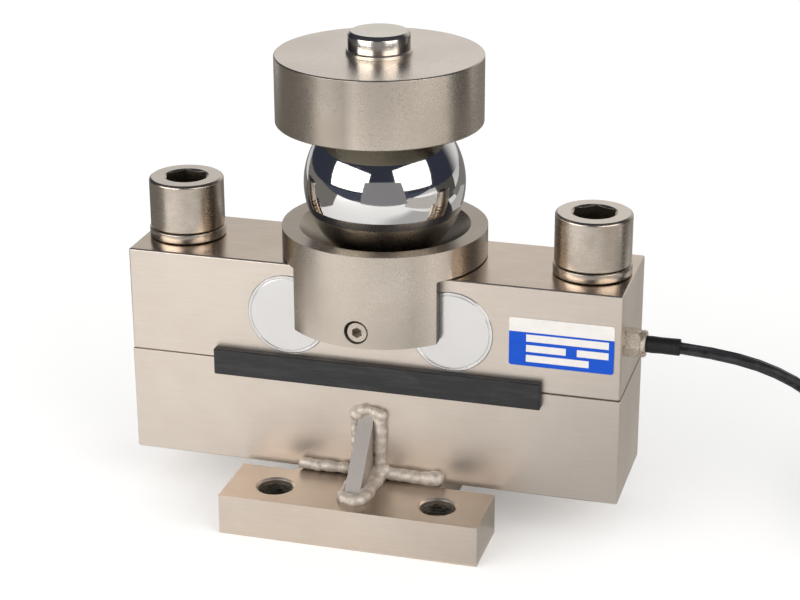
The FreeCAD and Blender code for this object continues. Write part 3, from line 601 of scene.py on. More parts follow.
PUDDLES = (
    [(-32.4, -30.0, 23.2, 3.2)] + seam((-29.5, -30.2, 22.8), (-12, -30.0, 22.8), 2.7, 1.9)
    + seam((11.5, -30.6, 23.0), (32.0, -30.2, 22.8), 3.3, 2.1) + [(34.0, -29.8, 23.0, 3.3)]
    + seam((5.6, -29.0, 27), (6.0, -29.0, 50), 3.0, 2.0) + seam((3.6, -28.6, 30), (3.6, -28.6, 50), 1.8, 2.4)
    + seam((-7.2, -28.8, 24), (-7.0, -28.6, 50), 2.2, 2.0)
    + [(-6.2, -29.2, 51.8, 3.4), (-4.6, -28.9, 53.6, 2.6), (-2.6, -28.9, 54.6, 2.4), (0.4, -28.8, 54.6, 2.0),
       (3.4, -29.4, 54.0, 2.6), (6.4, -29.4, 52.6, 3.4), (6.9, -31.0, 24.6, 3.9)]
    + seam((5.4, -32, 21.6), (4.6, -55, 20.8), 3.4, 2.0) + seam((3.4, -31, 24.5), (3.2, -44, 22.0), 2.2, 2.2)
    + seam((-6.6, -32, 21.2), (-6.2, -55, 20.6), 2.2, 2.0)
    + [(-3.8, -57.6, 20.8, 3.2), (-1.0, -58.8, 21.0, 3.3), (1.8, -58.8, 21.2, 3.4), (4.2, -57.4, 21.0, 3.3)]
)
print(len(PUDDLES), "puddles on each side")


def weld(name, turn, seed):
    """All the beads of one side as blobs, made a mesh and turned to its side."""
    chance = random.Random(seed)
    ops.metaball_add(type="BALL", radius=1, location=(0, 0, 0))
    blob = bpy.context.object
    blob.name = name
    blob.data.resolution = 0.5 * MM * BLOW_UP
    blob.data.render_resolution = blob.data.resolution
    blob.data.threshold = 0.6
    for i, (x, y, z, size) in enumerate(PUDDLES):
        element = blob.data.elements[0] if i == 0 else blob.data.elements.new()
        element.co = [(c + chance.uniform(-0.25, 0.25)) * MM * BLOW_UP for c in (x, y, z)]
        element.radius = size * chance.uniform(0.84, 1.1) / 0.70 * MM * BLOW_UP
        element.stiffness = 4.5
    bpy.context.view_layer.update()
    ops.convert(target="MESH")
    bead = begin(name)
    bead.scale = [1 / BLOW_UP] * 3
    if turn:
        bead.rotation_euler = (0, 0, pi)
        bead.location = ((RIB_LOW + RIB_HIGH) * MM, 0, 0)
    apply_place(bead)
    ops.shade_smooth()
    return bead


for end, turn, seed in (("front", False, 4), ("rear", True, 9)):
    bead = weld(f"weld_bead_{end}", turn, seed)
    settle(bead, "weld_metal", f"weld_{end}")

# %% [markdown]
# The gland is small, but it is where the eye follows the cable out. Its nut is a hexagon whose corners are turned
# down, so a six-sided bar is trimmed by a lathe part. The collar has four slots for a pin wrench.

# %% Gland
GLAND_START = 119.75
NUT_LENGTH = 7.2
nut = rod("gland_nut", 12 / sqrt(3), (0, 0, 0), (0, 0, NUT_LENGTH), sides=6)
combine(nut, turned("turned_down", [(0, -1), (5.6, -1), (7.0, 0.9), (7.0, 5.6), (5.8, 7.6), (0, 7.6)], steps=96),
        how="INTERSECT")
combine(nut, rod("bore", 3.8, (0, 0, -1), (0, 0, 9), sides=64))
soften(nut, 0.3)
stand(nut, (GLAND_START, *GLAND_MOUTH[1:]), (0, 90, 0))
settle(nut, "gland_nickel", "gland_body")

collar = turned("gland_ring", [
    (3.8, 0), (5.9, 0), (6.3, 0.4), (6.3, 1.7), (5.7, 2.3), (3.8, 2.3), (3.8, 0),
], steps=96)
for quarter in range(4):
    notch = block("notch", (5.1, -1.0, 0.9), (8, 1.0, 4))
    stand(notch, (0, 0, 0), (0, 0, 90 * quarter + 20))
    combine(collar, notch)
soften(collar, 0.15)
stand(collar, (GLAND_START + NUT_LENGTH, *GLAND_MOUTH[1:]), (0, 90, 0))
settle(collar, "gland_nickel", "gland_collar")

# %% [markdown]
# A short shrink sleeve grips the cable where it leaves the gland. Shrink tube is never quite even: its wall swells
# and dips a little along its length and ends in a lip, so that outline is spun.

# %% Shrink sleeve
sleeve = turned("shrink_sleeve", [
    (2.78, 0.0), (3.7, 0.0), (3.9, 0.6), (3.95, 3.0), (3.8, 6.5), (3.85, 10.0), (3.9, 13.6), (3.92, 15.1),
    (3.7, 15.5), (2.9, 15.5), (2.78, 15.2), (2.78, 0.0),
], steps=64)
soften(sleeve, 0.1)
stand(sleeve, GLAND_MOUTH, (0, 90, 0))
settle(sleeve, "sleeve_black", "cable_sleeve")

# %% [markdown]
# Ground steel never has a knife edge: a light line runs along every corner. The solids of the beam, the block, the
# two gussets, the strip and the rating plate have the right shape already, so a copy of each is taken, its loose
# triangles are merged, and its edges are broken by a fraction of a millimetre.

# %% Broken edges
def dressed_copy(node, name, width):
    """A merged copy of a solid with its sharp edges broken."""
    piece = copy_of(nodes[node], name)
    only(piece)
    ops.mode_set(mode="EDIT")
    mesh.select_all(action="SELECT")
    mesh.remove_doubles(threshold=2e-6)
    ops.mode_set(mode="OBJECT")
    mesh.customdata_custom_splitnormals_clear()
    return soften(piece, width, angle=35)


for node, name, width, slot in (("load_beam", "measuring_beam", 0.2, "plated_body"),
                                ("base_block", "support_block", 0.3, "plated_body"),
                                ("rib_front", "gusset_front", 0.35, "plated_body"),
                                ("rib_rear", "gusset_rear", 0.35, "plated_body"),
                                ("marker_strip", "strip", 0.35, "strip_black"),
                                ("rating_plate", "label", 0.08, "label_face")):
    settle(dressed_copy(node, name, width), slot, node)

# %% [markdown]
# Finishes are node materials on Object coordinates, so a scratch or a grain stays where it is on the metal. Every
# finish starts the same way: one shader, one coordinate, and layers of noise that change colour, roughness and
# height. The class keeps the nodes of one finish together and has a method for each step that the finishes repeat.

# %% Finish tools
class Finish:
    """The nodes of a material or a world, and the steps that build them."""

    def __init__(self, owner):
        owner.use_nodes = True
        self.owner = owner
        self.nodes = owner.node_tree.nodes
        self.links = owner.node_tree.links
        self.shader = self.nodes.get("Principled BSDF")

    def add(self, kind, inputs=None, **settings):
        """A node and its settings; each input is joined to a socket, or takes a number, a vector or a colour."""
        node = self.nodes.new("ShaderNode" + kind)
        for key, value in settings.items():
            setattr(node, key, value)
        for key, value in (inputs or {}).items():
            socket = node.inputs[key]
            if isinstance(value, bpy.types.NodeSocket):
                self.links.new(value, socket)
            elif socket.type == "RGBA":
                socket.default_value = (*value, 1)
            else:
                socket.default_value = value
        return node.outputs

    def along(self, stretch=(1, 1, 1), source="Object", shift=(0, 0, 0)):
        """The surface coordinate, stretched so that a pattern can run one way."""
        where = self.add("TexCoord")[source]
        return self.add("Mapping", {"Vector": where, "Scale": stretch, "Location": shift})["Vector"]

    def axes(self, source="Object"):
        """The surface coordinate as three values, X, Y and Z."""
        return self.add("SeparateXYZ", {0: self.along(source=source)})

    def grain(self, scale, detail, rough, stretch=(1, 1, 1)):
        """Noise between 0 and 1, with a scale in waves per metre, or a scale of 1 and the waves in the stretch."""
        where = self.along(stretch)
        return self.add("TexNoise", {"Vector": where, "Scale": scale, "Detail": detail, "Roughness": rough})[0]

    def spread(self, value, low, high, out_low=0.0, out_high=1.0, curve="LINEAR"):
        """Stretch a range of values onto another."""
        ends = {"From Min": low, "From Max": high, "To Min": out_low, "To Max": out_high}
        return self.add("MapRange", {"Value": value, **ends}, interpolation_type=curve)[0]

    def calc(self, how, a, b=0.0):
        """One arithmetic node; a and b are sockets or numbers."""
        return self.add("Math", {0: a, 1: b}, operation=how)[0]

    def distance(self, a, b):
        """How far a point lies from an axis, from its offsets across and along."""
        return self.calc("SQRT", self.calc("ADD", self.calc("POWER", a, 2.0), self.calc("POWER", b, 2.0)))

    def tint(self, factor, first, second):
        """A colour between two, by a factor; each is a colour or a socket."""
        return self.add("Mix", {"Factor": factor, "A": first, "B": second}, data_type="RGBA")["Result"]

    def raised(self, height, depth, under=None):
        """A bump of a depth in millimetres, over another bump if one is given."""
        below = {} if under is None else {"Normal": under}
        return self.add("Bump", {"Distance": depth * MM, "Height": height, **below})["Normal"]

    def drive(self, **sockets):
        """Join results to the shader: colour, roughness, normal, metal."""
        names = {"colour": "Base Color", "rough": "Roughness", "normal": "Normal", "metal": "Metallic"}
        for key, value in sockets.items():
            self.links.new(value, self.shader.inputs[names[key]])

    def lay(self, factor, colour):
        """Lay a colour over the colour so far, where the factor is 1."""
        so_far = self.shader.inputs["Base Color"].links[0].from_socket
        self.drive(colour=self.tint(factor, so_far, colour))

    def show(self, shader):
        """Put another shader in the place of the first one."""
        self.links.new(shader, self.nodes["Material Output"].inputs["Surface"])

    def dress(self, *pieces):
        """Give the finish to pieces, CAD nodes among them."""
        for piece in pieces:
            piece.data.materials.clear()
            piece.data.materials.append(self.owner)
        print(self.owner.name, "on", ", ".join(piece.name for piece in pieces))


def new_finish(name, colour, metallic, roughness, specular=0.5):
    """A material with one shader; its even values are set on the shader's own sockets."""
    paint = Finish(bpy.data.materials.new(name))
    for socket, value in (("Base Color", (*colour, 1)), ("Metallic", metallic), ("Roughness", roughness),
                          ("Specular IOR Level", specular)):
        paint.shader.inputs[socket].default_value = value
    return paint


def grainy(name, even, noise, colours, rough, depth, stretch=(1, 1, 1), ends=(0, 1)):
    """A plain finish from one noise, which moves the colour, the roughness and the height."""
    paint = new_finish(name, *even)
    speck = paint.grain(*noise, stretch)
    paint.drive(
        colour=paint.tint(paint.spread(speck, *ends), *colours),
        rough=paint.spread(speck, 0.3, 0.7, *rough),
        normal=paint.raised(speck, depth),
    )
    return paint


piece = bpy.data.objects

# %% [markdown]
# Matt nickel plating over ground steel: the grinding runs along the bar and still shows through as fine streaks, the
# bath leaves soft cloudy patches, and handling leaves a few duller marks. A thin dark seam marks the joint of beam
# and block.

# %% Plated steel
JOINT = 73.0


def plating(name, colour, deep, roughness, top_roughness, stretch, top=(1, 1, 1)):
    """Streaked and cloudy plating; faces that look up are ground finer than the sides, and their colour is scaled by
    top as painted light and shade.
    """
    paint = new_finish(name, colour, 1.0, roughness)
    streaks = paint.grain(1.0, 4.0, 0.6, stretch)
    clouds = paint.grain(22, 4.0, 0.6)
    pores = paint.grain(1900, 2.0, 0.5)
    shade = paint.calc("ADD", paint.calc("MULTIPLY", streaks, 0.35), paint.calc("MULTIPLY", clouds, 0.65))
    cloudy = paint.spread(shade, 0.32, 0.68)
    uneven = paint.spread(paint.calc("ADD", clouds, streaks), 0.7, 1.3, 0.05, -0.05)
    up = paint.axes("Normal")["Z"]
    # Painted light and shade: faces that look up take the colours scaled by top.
    painted_top_tones = [tuple(a * b for a, b in zip(tone, top)) for tone in (deep, colour)]
    paint.drive(
        colour=paint.tint(paint.spread(up, 0.8, 0.95), paint.tint(cloudy, deep, colour), paint.tint(cloudy, *painted_top_tones)),
        rough=paint.calc("ADD", paint.spread(up, 0.8, 0.95, roughness, top_roughness), uneven),
        normal=paint.raised(pores, 0.012, paint.raised(streaks, 0.006)),
    )
    return paint


# The top factors are painted shade: the beam and block tops a little darker and warmer, the foot plate's top much
# darker.
body_plating = plating("satin_plating", (0.76, 0.678, 0.602), (0.675, 0.594, 0.518), 0.36, 0.22, (55, 1500, 1500),
                       top=(0.97, 0.92, 0.87))
foot_plating = plating("foot_plating", (0.74, 0.65, 0.56), (0.65, 0.56, 0.48), 0.38, 0.34, (60, 1300, 1300),
                       top=(0.66, 0.65, 0.64))
gusset_plating = plating("gusset_plating", (0.68, 0.63, 0.59), (0.60, 0.55, 0.51), 0.5, 0.5, (700, 700, 200))
from_joint = body_plating.calc("ABSOLUTE", body_plating.calc("SUBTRACT", body_plating.axes()["Z"], JOINT * MM))
body_plating.lay(body_plating.spread(from_joint, 0.42 * MM, 0.34 * MM), (0.30, 0.265, 0.22))
body_plating.dress(piece["measuring_beam"], piece["support_block"])
foot_plating.dress(piece["foot_plate"])
gusset_plating.dress(piece["gusset_front"], piece["gusset_rear"])

# %% [markdown]
# The thread's flanks are painted dark: painted shade inside the tapped holes.

# %% Thread steel
# Painted shade: the thread inside the holes is coloured nearly black.
grainy("thread_painted_dark", ((0.20, 0.18, 0.14), 1.0, 0.38), (420, 4.0, 0.6), ((0.10, 0.09, 0.07), (0.34, 0.31, 0.26)),
       (0.28, 0.55), 0.05, ends=(0.35, 0.7)).dress(threads)

# %% [markdown]
# The cup and the cap come off the lathe and are then plated. Turning marks run round them: on the side they are
# level rings, on the flat top they are circles about the axis. A wave texture in its ring form draws both.

# %% Turned steel
def turned_finish(name, colour, deep, roughness, axis_x, ring_scale, grit, coarse):
    """Turning rings about an upright axis, sand and clouds; the depth of the sand is in millimetres."""
    paint = new_finish(name, colour, 1.0, roughness)
    rings = paint.add("TexWave", {"Vector": paint.along(shift=(-axis_x * MM, 0, 0)), "Scale": ring_scale,
                                  "Distortion": 1.2, "Detail": 2.0, "Detail Scale": 4.0},
                      wave_type="RINGS", rings_direction="Z")[1]
    levels = paint.grain(1.0, 3.0, 0.6, (30, 30, 1100))
    sand = paint.grain(grit, 2.0, 0.6)
    clouds = paint.grain(26, 4.0, 0.6)
    paint.drive(
        colour=paint.tint(paint.spread(clouds, 0.3, 0.7), deep, colour),
        rough=paint.spread(paint.calc("ADD", clouds, sand), 0.7, 1.3, roughness + 0.06, roughness - 0.06),
        normal=paint.raised(sand, coarse, paint.raised(levels, 0.02, paint.raised(rings, 0.004))),
    )
    return paint


SIDE_ON = radians(16)


def across_view(paint, facing):
    """-1 where an upright face looks to the left of the main view, 0 where it looks at the viewer, 1 to the right."""
    return paint.calc("ADD", paint.calc("MULTIPLY", facing["X"], cos(SIDE_ON)),
                      paint.calc("MULTIPLY", facing["Y"], sin(SIDE_ON)))


# %% [markdown]
# The photograph's round parts darken at their left and right sides more than this small room makes them, so their
# colour darkens there too. The cap's underside lies in its own shade and stays brown.

# %% Cap
paint = turned_finish("cap_turned", (0.90, 0.80, 0.69), (0.78, 0.68, 0.57), 0.3, CAP_X, 260, 1500, 0.032)
facing = paint.axes("Normal")
sideways = across_view(paint, facing)
patches = paint.spread(paint.grain(26, 4.0, 0.6), 0.3, 0.7)
# Painted shade: darker bands on the cap's left and right sides.
for low, high, dark, light in ((-0.22, -0.32, (0.44, 0.385, 0.32), (0.54, 0.48, 0.41)),
                               (0.2, 0.5, (0.62, 0.55, 0.47), (0.72, 0.65, 0.565))):
    paint.lay(paint.spread(sideways, low, high), paint.tint(patches, dark, light))
# Painted light and shade: the flat top gets one even tone of its own.
paint.lay(paint.spread(facing["Z"], 0.85, 0.97), (0.82, 0.74, 0.66))
paint.lay(paint.spread(facing["Z"], -0.55, -0.85), (0.17, 0.15, 0.11))
paint.dress(piece["cap_disc"])

# %% [markdown]
# The cup's colour carries painted light and shade: darker at its left side, lighter right of its middle, darker
# again at its right side and on the top of its rim, and darker in the dish under the ball. Its flat flanks beside the
# cheeks and the ring round each set screw never see light, so they are drawn as shade: nearly black, and no metal.

# %% Cup finish
paint = turned_finish("cup_turned", (0.62, 0.555, 0.48), (0.53, 0.465, 0.395), 0.3, 0, 260, 1400, 0.016)
paint.shader.inputs["Specular IOR Level"].default_value = 0.1
facing, spot = paint.axes("Normal"), paint.axes()
sideways = across_view(paint, facing)
# Painted light and shade across the side: darker at the left, lighter right of the middle, darker again at the right.
for low, high, tone in ((-0.74, -0.90, (0.25, 0.215, 0.17)), (0.26, 0.44, (0.84, 0.745, 0.65)),
                        (0.62, 0.76, (0.44, 0.385, 0.32))):
    paint.lay(paint.spread(sideways, low, high), tone)
# Painted shade: the flat top of the rim is darker.
paint.lay(paint.spread(facing["Z"], 0.9, 0.97), (0.45, 0.39, 0.325))
# Painted shade: the dish under the ball is darker.
off_axis = paint.distance(spot["X"], spot["Y"])
dish = paint.calc("MULTIPLY", paint.spread(off_axis, 40.9 * MM, 40.5 * MM),
                  paint.spread(spot["Z"], 120.0 * MM, 121.0 * MM))
paint.lay(dish, (0.38, 0.33, 0.265))
flank = paint.calc("MULTIPLY", paint.spread(facing["X"], 0.9, 0.98),
                   paint.spread(spot["Z"], (BEAM_TOP - 0.1) * MM, (BEAM_TOP - 0.5) * MM))
off_screw = paint.distance(spot["X"], paint.calc("SUBTRACT", spot["Z"], SET_SCREW_LEVEL * MM))
shady = paint.calc("MAXIMUM", flank, paint.spread(off_screw, 5.78 * MM, 5.68 * MM))
paint.lay(shady, (0.045, 0.038, 0.026))
paint.drive(metal=paint.calc("SUBTRACT", 1.0, shady))
paint.dress(piece["cup_seat"])

# %% Pin finish
paint = turned_finish("pin_turned", (0.80, 0.75, 0.68), (0.68, 0.62, 0.54), 0.16, CAP_X, 420, 2600, 0.02)
# Painted shade: the pin's side goes nearly black where it turns away to the left and right.
edge_on = paint.calc("ABSOLUTE", across_view(paint, paint.axes("Normal")))
paint.lay(paint.spread(edge_on, 0.66, 0.92), (0.14, 0.12, 0.09))
paint.dress(piece["locating_pin"])

# %% [markdown]
# A bearing ball is lapped to a mirror. What gives it away as steel is a cool, slightly dark reflection and the
# finest of hairline marks, which show only as a little haze round the brightest lights.

# %% Polished ball
paint = new_finish("lapped_ball", (0.74, 0.73, 0.72), 1.0, 0.05)
haze = paint.grain(60, 5.0, 0.6)
hair = paint.grain(1.0, 2.0, 0.5, (300, 2600, 900))
paint.drive(
    colour=paint.tint(haze, (0.70, 0.69, 0.68), (0.78, 0.77, 0.76)),
    rough=paint.spread(paint.calc("MULTIPLY", haze, hair), 0.1, 0.4, 0.035, 0.085),
    normal=paint.raised(hair, 0.0006),
)
paint.dress(piece["bearing_ball"])

# %% [markdown]
# The screws are forged, machined and plated. Their heads are smoother than the beam, with faint level rings from the
# cutter on the side and a few dull spots. Their up-facing faces are painted lighter, as painted light, and the key
# socket is painted dark brown, as painted shade in the recess.

# %% Plated screws
paint = new_finish("screw_plating", (0.74, 0.68, 0.61), 1.0, 0.22)
cutter = paint.grain(1.0, 3.0, 0.6, (25, 25, 2100))
spots = paint.grain(130, 5.0, 0.65)
spot = paint.axes()
from_screw = paint.calc("SUBTRACT", paint.calc("ABSOLUTE", spot["X"]), SCREW_X * MM)
from_axis = paint.distance(from_screw, spot["Y"])
socket = paint.calc("MULTIPLY", paint.spread(from_axis, 11.12 * MM, 11.05 * MM),
                    paint.spread(spot["Z"], (HEAD_TOP - 0.75) * MM, (HEAD_TOP - 1.0) * MM))
paint.drive(
    colour=paint.tint(paint.spread(spots, 0.3, 0.7), (0.50, 0.44, 0.37), (0.61, 0.54, 0.47)),
    rough=paint.spread(paint.calc("ADD", spots, cutter), 0.7, 1.3, 0.32, 0.24),
    normal=paint.raised(cutter, 0.012, paint.raised(spots, 0.03)),
)
# Painted light: faces that look up are lighter.
paint.lay(paint.spread(paint.axes("Normal")["Z"], 0.9, 0.98), (0.79, 0.715, 0.635))
# Painted shade: the key socket is dark brown.
paint.lay(socket, (0.26, 0.22, 0.16))
paint.dress(screws, washers, piece["grub_screws"])

# %% [markdown]
# Weld metal is plated with the rest. Its surface froze in crescents, so the height mixes a coarse ripple with lumps,
# and the hollows stay browner than the crests.

# %% Weld metal
paint = new_finish("plated_weld", (0.74, 0.67, 0.60), 0.7, 0.6)
lumps = paint.grain(330, 3.0, 0.55)
ripple = paint.grain(850, 3.0, 0.6, (1.0, 1.0, 1.6))
paint.drive(
    colour=paint.tint(paint.spread(lumps, 0.3, 0.62), (0.50, 0.44, 0.37), (0.74, 0.67, 0.60)),
    rough=paint.spread(ripple, 0.3, 0.7, 0.48, 0.70),
    normal=paint.raised(ripple, 0.12, paint.raised(lumps, 0.26)),
)
paint.dress(piece["weld_bead_front"], piece["weld_bead_rear"])

# %% [markdown]
# The pocket covers are thin polished foil discs that mirror the pale room, with faint rings from the press.

# %% Cover foil
paint = new_finish("cover_foil", (0.88, 0.87, 0.86), 0.9, 0.2)
dents = paint.grain(45, 3.0, 0.5)
fine = paint.grain(900, 2.0, 0.5)
paint.drive(
    colour=paint.tint(dents, (0.695, 0.68, 0.67), (0.74, 0.725, 0.715)),
    rough=paint.spread(fine, 0.3, 0.7, 0.16, 0.22),
    normal=paint.raised(dents, 0.008),
)
paint.dress(*(piece[f"pocket_cover_{end}_{hand}"] for end in ("front", "rear") for hand in ("left", "right")))

# %% [markdown]
# The marker strip is matt black moulded plastic. It has a fine orange-peel, dusty corners and no print.

# %% Marker strip
paint = new_finish("strip_plastic", (0.022, 0.022, 0.024), 0.0, 0.55)
peel = paint.grain(1300, 3.0, 0.6)
dust = paint.grain(1.0, 5.0, 0.65, (60, 200, 400))
paint.drive(
    colour=paint.tint(paint.spread(dust, 0.45, 0.8), (0.012, 0.012, 0.014), (0.038, 0.038, 0.041)),
    rough=paint.spread(dust, 0.3, 0.7, 0.48, 0.66),
    normal=paint.raised(peel, 0.04),
)
paint.dress(piece["strip"])

# %% [markdown]
# The rating plate is a printed foil: a pale heading, a blue frame and three white rows to fill in, all left blank.
# Each field is a window in X and Z, made of four comparisons, and the windows are added up.

# %% Rating plate
LABEL_X, LABEL_Z = (67.5, 116.4), (86.1, 109.7)
FIELDS = (
    ((0.165, 0.95), (0.515, 0.665)), ((0.165, 0.545), (0.30, 0.445)), ((0.65, 0.95), (0.30, 0.445)),
    ((0.165, 0.765), (0.09, 0.235)), ((-0.1, 1.1), (0.71, 1.1)),
)
paint = new_finish("printed_foil", (0.8, 0.78, 0.75), 0.0, 0.38, specular=0.15)
spot = paint.axes()


def window(paint, spot, across, up):
    """1 inside a rectangle given in parts of the label's width and height, 0 outside."""
    inside = 1.0
    for value, (start, end), parts in ((spot["X"], LABEL_X, across), (spot["Z"], LABEL_Z, up)):
        for how, part in zip(("GREATER_THAN", "LESS_THAN"), parts):
            edge = (start + (end - start) * part) * MM
            inside = paint.calc("MULTIPLY", inside, paint.calc(how, value, edge))
    return inside


bare = 0.0
for across, up in FIELDS:
    bare = paint.calc("MAXIMUM", bare, window(paint, spot, across, up))
fibre = paint.grain(260, 3.0, 0.5)
ink = paint.tint(fibre, (0.005, 0.06, 0.42), (0.009, 0.08, 0.50))
blank = paint.tint(fibre, (0.61, 0.585, 0.56), (0.71, 0.69, 0.665))
paint.drive(
    colour=paint.tint(bare, ink, blank),
    rough=paint.spread(fibre, 0.3, 0.7, 0.32, 0.45),
    normal=paint.raised(bare, 0.008, paint.raised(fibre, 0.02)),
)
paint.dress(piece["label"])

# %% [markdown]
# The gland is cast brass, plated over its sandy skin, so its grain is coarser and its nickel a little yellower. The
# shrink sleeve is a soft semi-gloss black with fine wrinkles, and the seal is plain rubber. What lies past the
# picture still gets its finish: tinned strands at the cable's bare end, and nylon ties on the coil.

# %% Gland, sleeve, seal, leads and ties
grainy("sand_nickel", ((0.74, 0.66, 0.56), 0.85, 0.4), (1500, 3.0, 0.65), ((0.40, 0.34, 0.26), (0.90, 0.82, 0.71)),
       (0.44, 0.28), 0.11, ends=(0.3, 0.7)).dress(nut, collar)
grainy("shrink_black", ((0.010, 0.010, 0.011), 0.0, 0.4, 0.3), (1.0, 3.0, 0.6),
       ((0.006, 0.006, 0.007), (0.014, 0.014, 0.015)), (0.34, 0.5), 0.12, stretch=(900, 260, 260)).dress(sleeve)
rubber = grainy("seal_rubber_black", ((0.03, 0.03, 0.032), 0.0, 0.7), (700, 3.0, 0.6),
                ((0.02, 0.02, 0.022), (0.05, 0.05, 0.052)), (0.6, 0.8), 0.05)
rubber.dress(nodes["gland_seal"])
grainy("tinned_strands", ((0.80, 0.80, 0.78), 1.0, 0.28), (1600, 3.0, 0.6), ((0.66, 0.64, 0.60), (0.88, 0.88, 0.86)),
       (0.2, 0.4), 0.1).dress(nodes["core_leads"])
grainy("tie_nylon", ((0.04, 0.04, 0.042), 0.0, 0.45), (900, 2.0, 0.5), ((0.025, 0.025, 0.027), (0.07, 0.07, 0.073)),
       (0.36, 0.52), 0.06).dress(nodes["coil_ties"])

# %% [markdown]
# The jacket is a duller grey-black than the sleeve, and the twist of its cores shows through. The ridges follow the
# cable, so they are drawn on its own UV map: U runs once along twelve metres, V once round. Three ridges wind round
# the cable, and a line along it crosses one every 34 mm.

# %% Cable jacket
RIDGES = 3
RIDGE_STEPS = 12.0 / 0.034
paint = new_finish("cable_jacket_black", (0.02, 0.02, 0.022), 0.0, 0.36)
split = paint.add("SeparateXYZ", {0: paint.add("UVMap")[0]})
phase = paint.calc("ADD", paint.calc("MULTIPLY", split["X"], RIDGE_STEPS * 2 * pi),
                    paint.calc("MULTIPLY", split["Y"], RIDGES * 2 * pi))
ridges = paint.calc("ABSOLUTE", paint.calc("SINE", paint.calc("MULTIPLY", phase, 0.5)))
scuff = paint.grain(240, 4.0, 0.6)
paint.drive(
    colour=paint.tint(paint.spread(scuff, 0.35, 0.75), (0.012, 0.012, 0.014), (0.032, 0.032, 0.035)),
    rough=paint.spread(scuff, 0.3, 0.7, 0.22, 0.34),
    normal=paint.raised(scuff, 0.02, paint.raised(ridges, 1.6)),
)
paint.dress(cable)

# %% [markdown]
# Inside the pockets sit the parts that do the measuring. Nobody sees them here, but anyone who opens the model will:
# copper-coloured gauge foil on its film, small green boards, and the wires between them.

# %% Measuring parts
gauge = grainy("gauge_film", ((0.62, 0.38, 0.14), 0.3, 0.4), (1.0, 2.0, 0.5),
               ((0.50, 0.27, 0.08), (0.76, 0.52, 0.24)), (0.3, 0.5), 0.02, stretch=(400, 400, 2500))
board = grainy("board_green", ((0.03, 0.20, 0.08), 0.0, 0.4), (1200, 2.0, 0.5),
               ((0.02, 0.14, 0.05), (0.05, 0.27, 0.12)), (0.32, 0.5), 0.03)
for name, solid in nodes.items():
    if name.startswith("gauge_"):
        gauge.dress(solid)
    elif name.startswith("board_"):
        board.dress(solid)
    elif name in ("link_wire", "web_wire_left", "web_wire_right", "core_run"):
        rubber.dress(solid)

# %% [markdown]
# Polished and plated steel shows its room, so the room matters as much as the lamps. The set is a white table with
# two large soft lamps in front. The table is white for the camera and still keeps the shadow: a little glow is added
# to its own shaded colour on the camera's rays only, and more of it farther back.

# %% White table
mesh.primitive_plane_add(size=8, location=(0, 0, 0))
table = begin("table")
table_white = new_finish("table_white", (0.9, 0.9, 0.9), 0.0, 0.8, specular=0.1)
farther = table_white.spread(table_white.axes()["Y"], -0.2, 0.9, 0.15, 0.34)
power = table_white.calc("MULTIPLY", table_white.add("LightPath")["Is Camera Ray"], farther)
glow = table_white.add("Emission", {"Color": (1, 1, 1), "Strength": power})[0]
table_white.show(table_white.add("AddShader", {0: table_white.shader.outputs[0], 1: glow})[0])
table_white.dress(table)

# %% [markdown]
# Upright steel seen from above mirrors the table, so the dark and grey parts of its reflections come from cards laid
# on the table: left, right, behind and in front. One more stands upright in front, for the ball. Only reflections
# see them: the camera, the shadow and the soft light don't. Each lies a tenth of a millimetre above the one below
# it.

# %% Flags and cards
def flag(name, corners, grey, fades=()):
    """A flat card for reflections only; corners are X, Y and Z in metres, and it can fade in along two axes."""
    card = quad(name, corners)
    paper = Finish(bpy.data.materials.new(name + "_paper"))
    light = paper.add("Emission", {"Color": grey})[0]
    if fades:
        spot = paper.axes()
        across, along = (paper.spread(spot[axis], low, high, curve="SMOOTHSTEP") for axis, low, high in fades)
        clear = paper.add("BsdfTransparent")[0]
        light = paper.add("MixShader", {0: paper.calc("MULTIPLY", across, along), 1: clear, 2: light})[0]
    paper.show(light)
    paper.dress(card)
    for ray in ("camera", "shadow", "diffuse", "transmission", "volume_scatter"):
        setattr(card, "visible_" + ray, False)


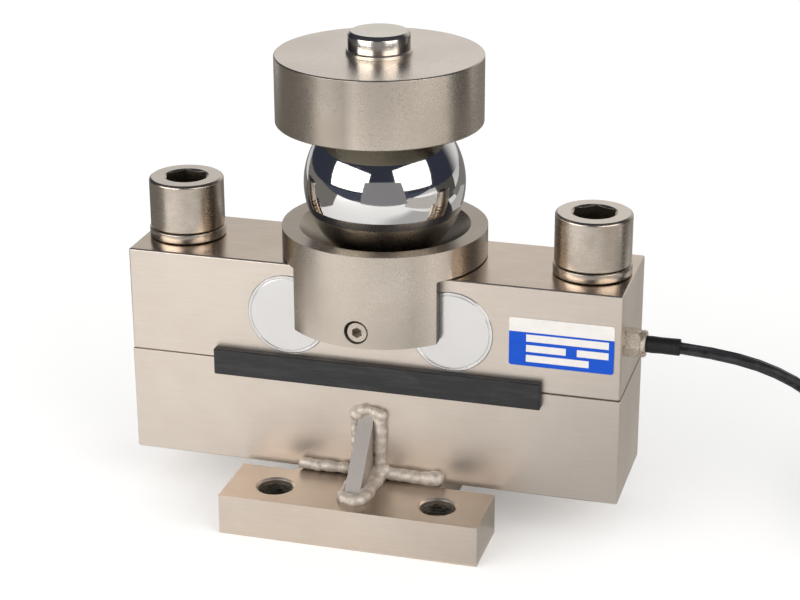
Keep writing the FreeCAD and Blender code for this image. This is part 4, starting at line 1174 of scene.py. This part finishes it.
ON_TABLE = 0.0003
LAYER = 0.0001
for name, outline, grey, layer in (
    ("flag_right", [(0.41, 0.07), (3.9, 0.02), (3.9, 3.0), (0.40, 0.36)], (0.09, 0.085, 0.075), 0),
    ("end_card", [(0.122, -0.04), (0.28, -0.04), (0.32, 0.5), (0.122, 0.5)], (0.48, 0.47, 0.45), 4),
    ("foot_card", [(0.064, -0.09), (0.10, -0.09), (0.11, 0.02), (0.064, 0.02)], (0.28, 0.27, 0.25), 5),
    ("flag_left", [(-0.31, 0.10), (-0.35, -0.20), (-3.9, -3.6), (-3.9, 3.0)], (0.20, 0.19, 0.175), 0),
    ("flag_left_back", [(-0.15, 0.09), (-0.6, 0.26), (-0.6, 0.9), (-0.12, 0.36)], (0.14, 0.135, 0.13), 1),
    ("right_grey", [(0.33, -0.36), (0.9, -0.8), (1.0, 0.0), (0.36, 0.02)], (0.58, 0.55, 0.51), 7),
    ("flag_back", [(-0.5, 0.32), (0.5, 0.32), (1.0, 2.0), (-1.0, 2.0)], (0.22, 0.21, 0.20), 2),
    ("table_edge", [(-3.99, -0.66), (3.99, -0.66), (3.99, -3.99), (-3.99, -3.99)], (0.07, 0.08, 0.11), 3),
    ("side_card", [(-0.02, -0.28), (0.30, -0.28), (0.30, -0.03), (-0.02, -0.03)], (0.5, 0.5, 0.5), 6),
):
    flag(name, [(x, y, ON_TABLE + LAYER * layer) for x, y in outline], grey,
         fades=(("X", -0.02, 0.12), ("Y", -0.28, -0.17)) if name == "side_card" else ())
flag("grey_card", [(-0.133, -0.626, 0.32), (0.403, -0.497, 0.33), (0.468, -0.436, 0.0), (-0.187, -0.612, 0.0)],
     (0.27, 0.265, 0.27))


# %% Lamps
def soft_lamp(name, azimuth, elevation, distance, width, height, radiance, colour):
    """A soft box that faces the object, placed by compass angle, height angle and distance in metres."""
    away = toward(azimuth, elevation)
    data = bpy.data.lights.new(name, "AREA")
    data.shape = "RECTANGLE"
    data.size = width
    data.size_y = height
    data.energy = radiance * pi * width * height
    data.color = colour
    lamp = bpy.data.objects.new(name, data)
    lamp.location = away * distance + Vector((0, 0, 0.16))
    lamp.rotation_mode = "QUATERNION"
    lamp.rotation_quaternion = away.to_track_quat("Z", "Y")
    link(lamp)


soft_lamp("lamp_left", -36, 15, 1.3, 1.38, 0.66, 3.8, (1.0, 0.985, 0.96))
soft_lamp("lamp_right", 59, 19, 1.3, 1.30, 0.76, 2.4, (1.0, 0.975, 0.94))

# %% [markdown]
# The room behind the set is pale and the room in front of it, where the photographer stands, is dark. Only
# reflections see that difference; the soft fill is even.

# %% Room
studio = Finish(bpy.data.worlds.new("studio"))
bpy.context.scene.world = studio.owner
behind = studio.spread(studio.axes("Generated")["Y"], 0.58, 0.98, curve="SMOOTHSTEP")
room = studio.tint(behind, (0.035, 0.04, 0.058), (0.82, 0.81, 0.79))
fill = studio.tint(studio.add("LightPath")["Is Glossy Ray"], (0.70, 0.70, 0.70), room)
studio.links.new(fill, studio.nodes["Background"].inputs["Color"])
studio.nodes["Background"].inputs["Strength"].default_value = 1.0
bpy.context.scene.view_settings.view_transform = "Standard"
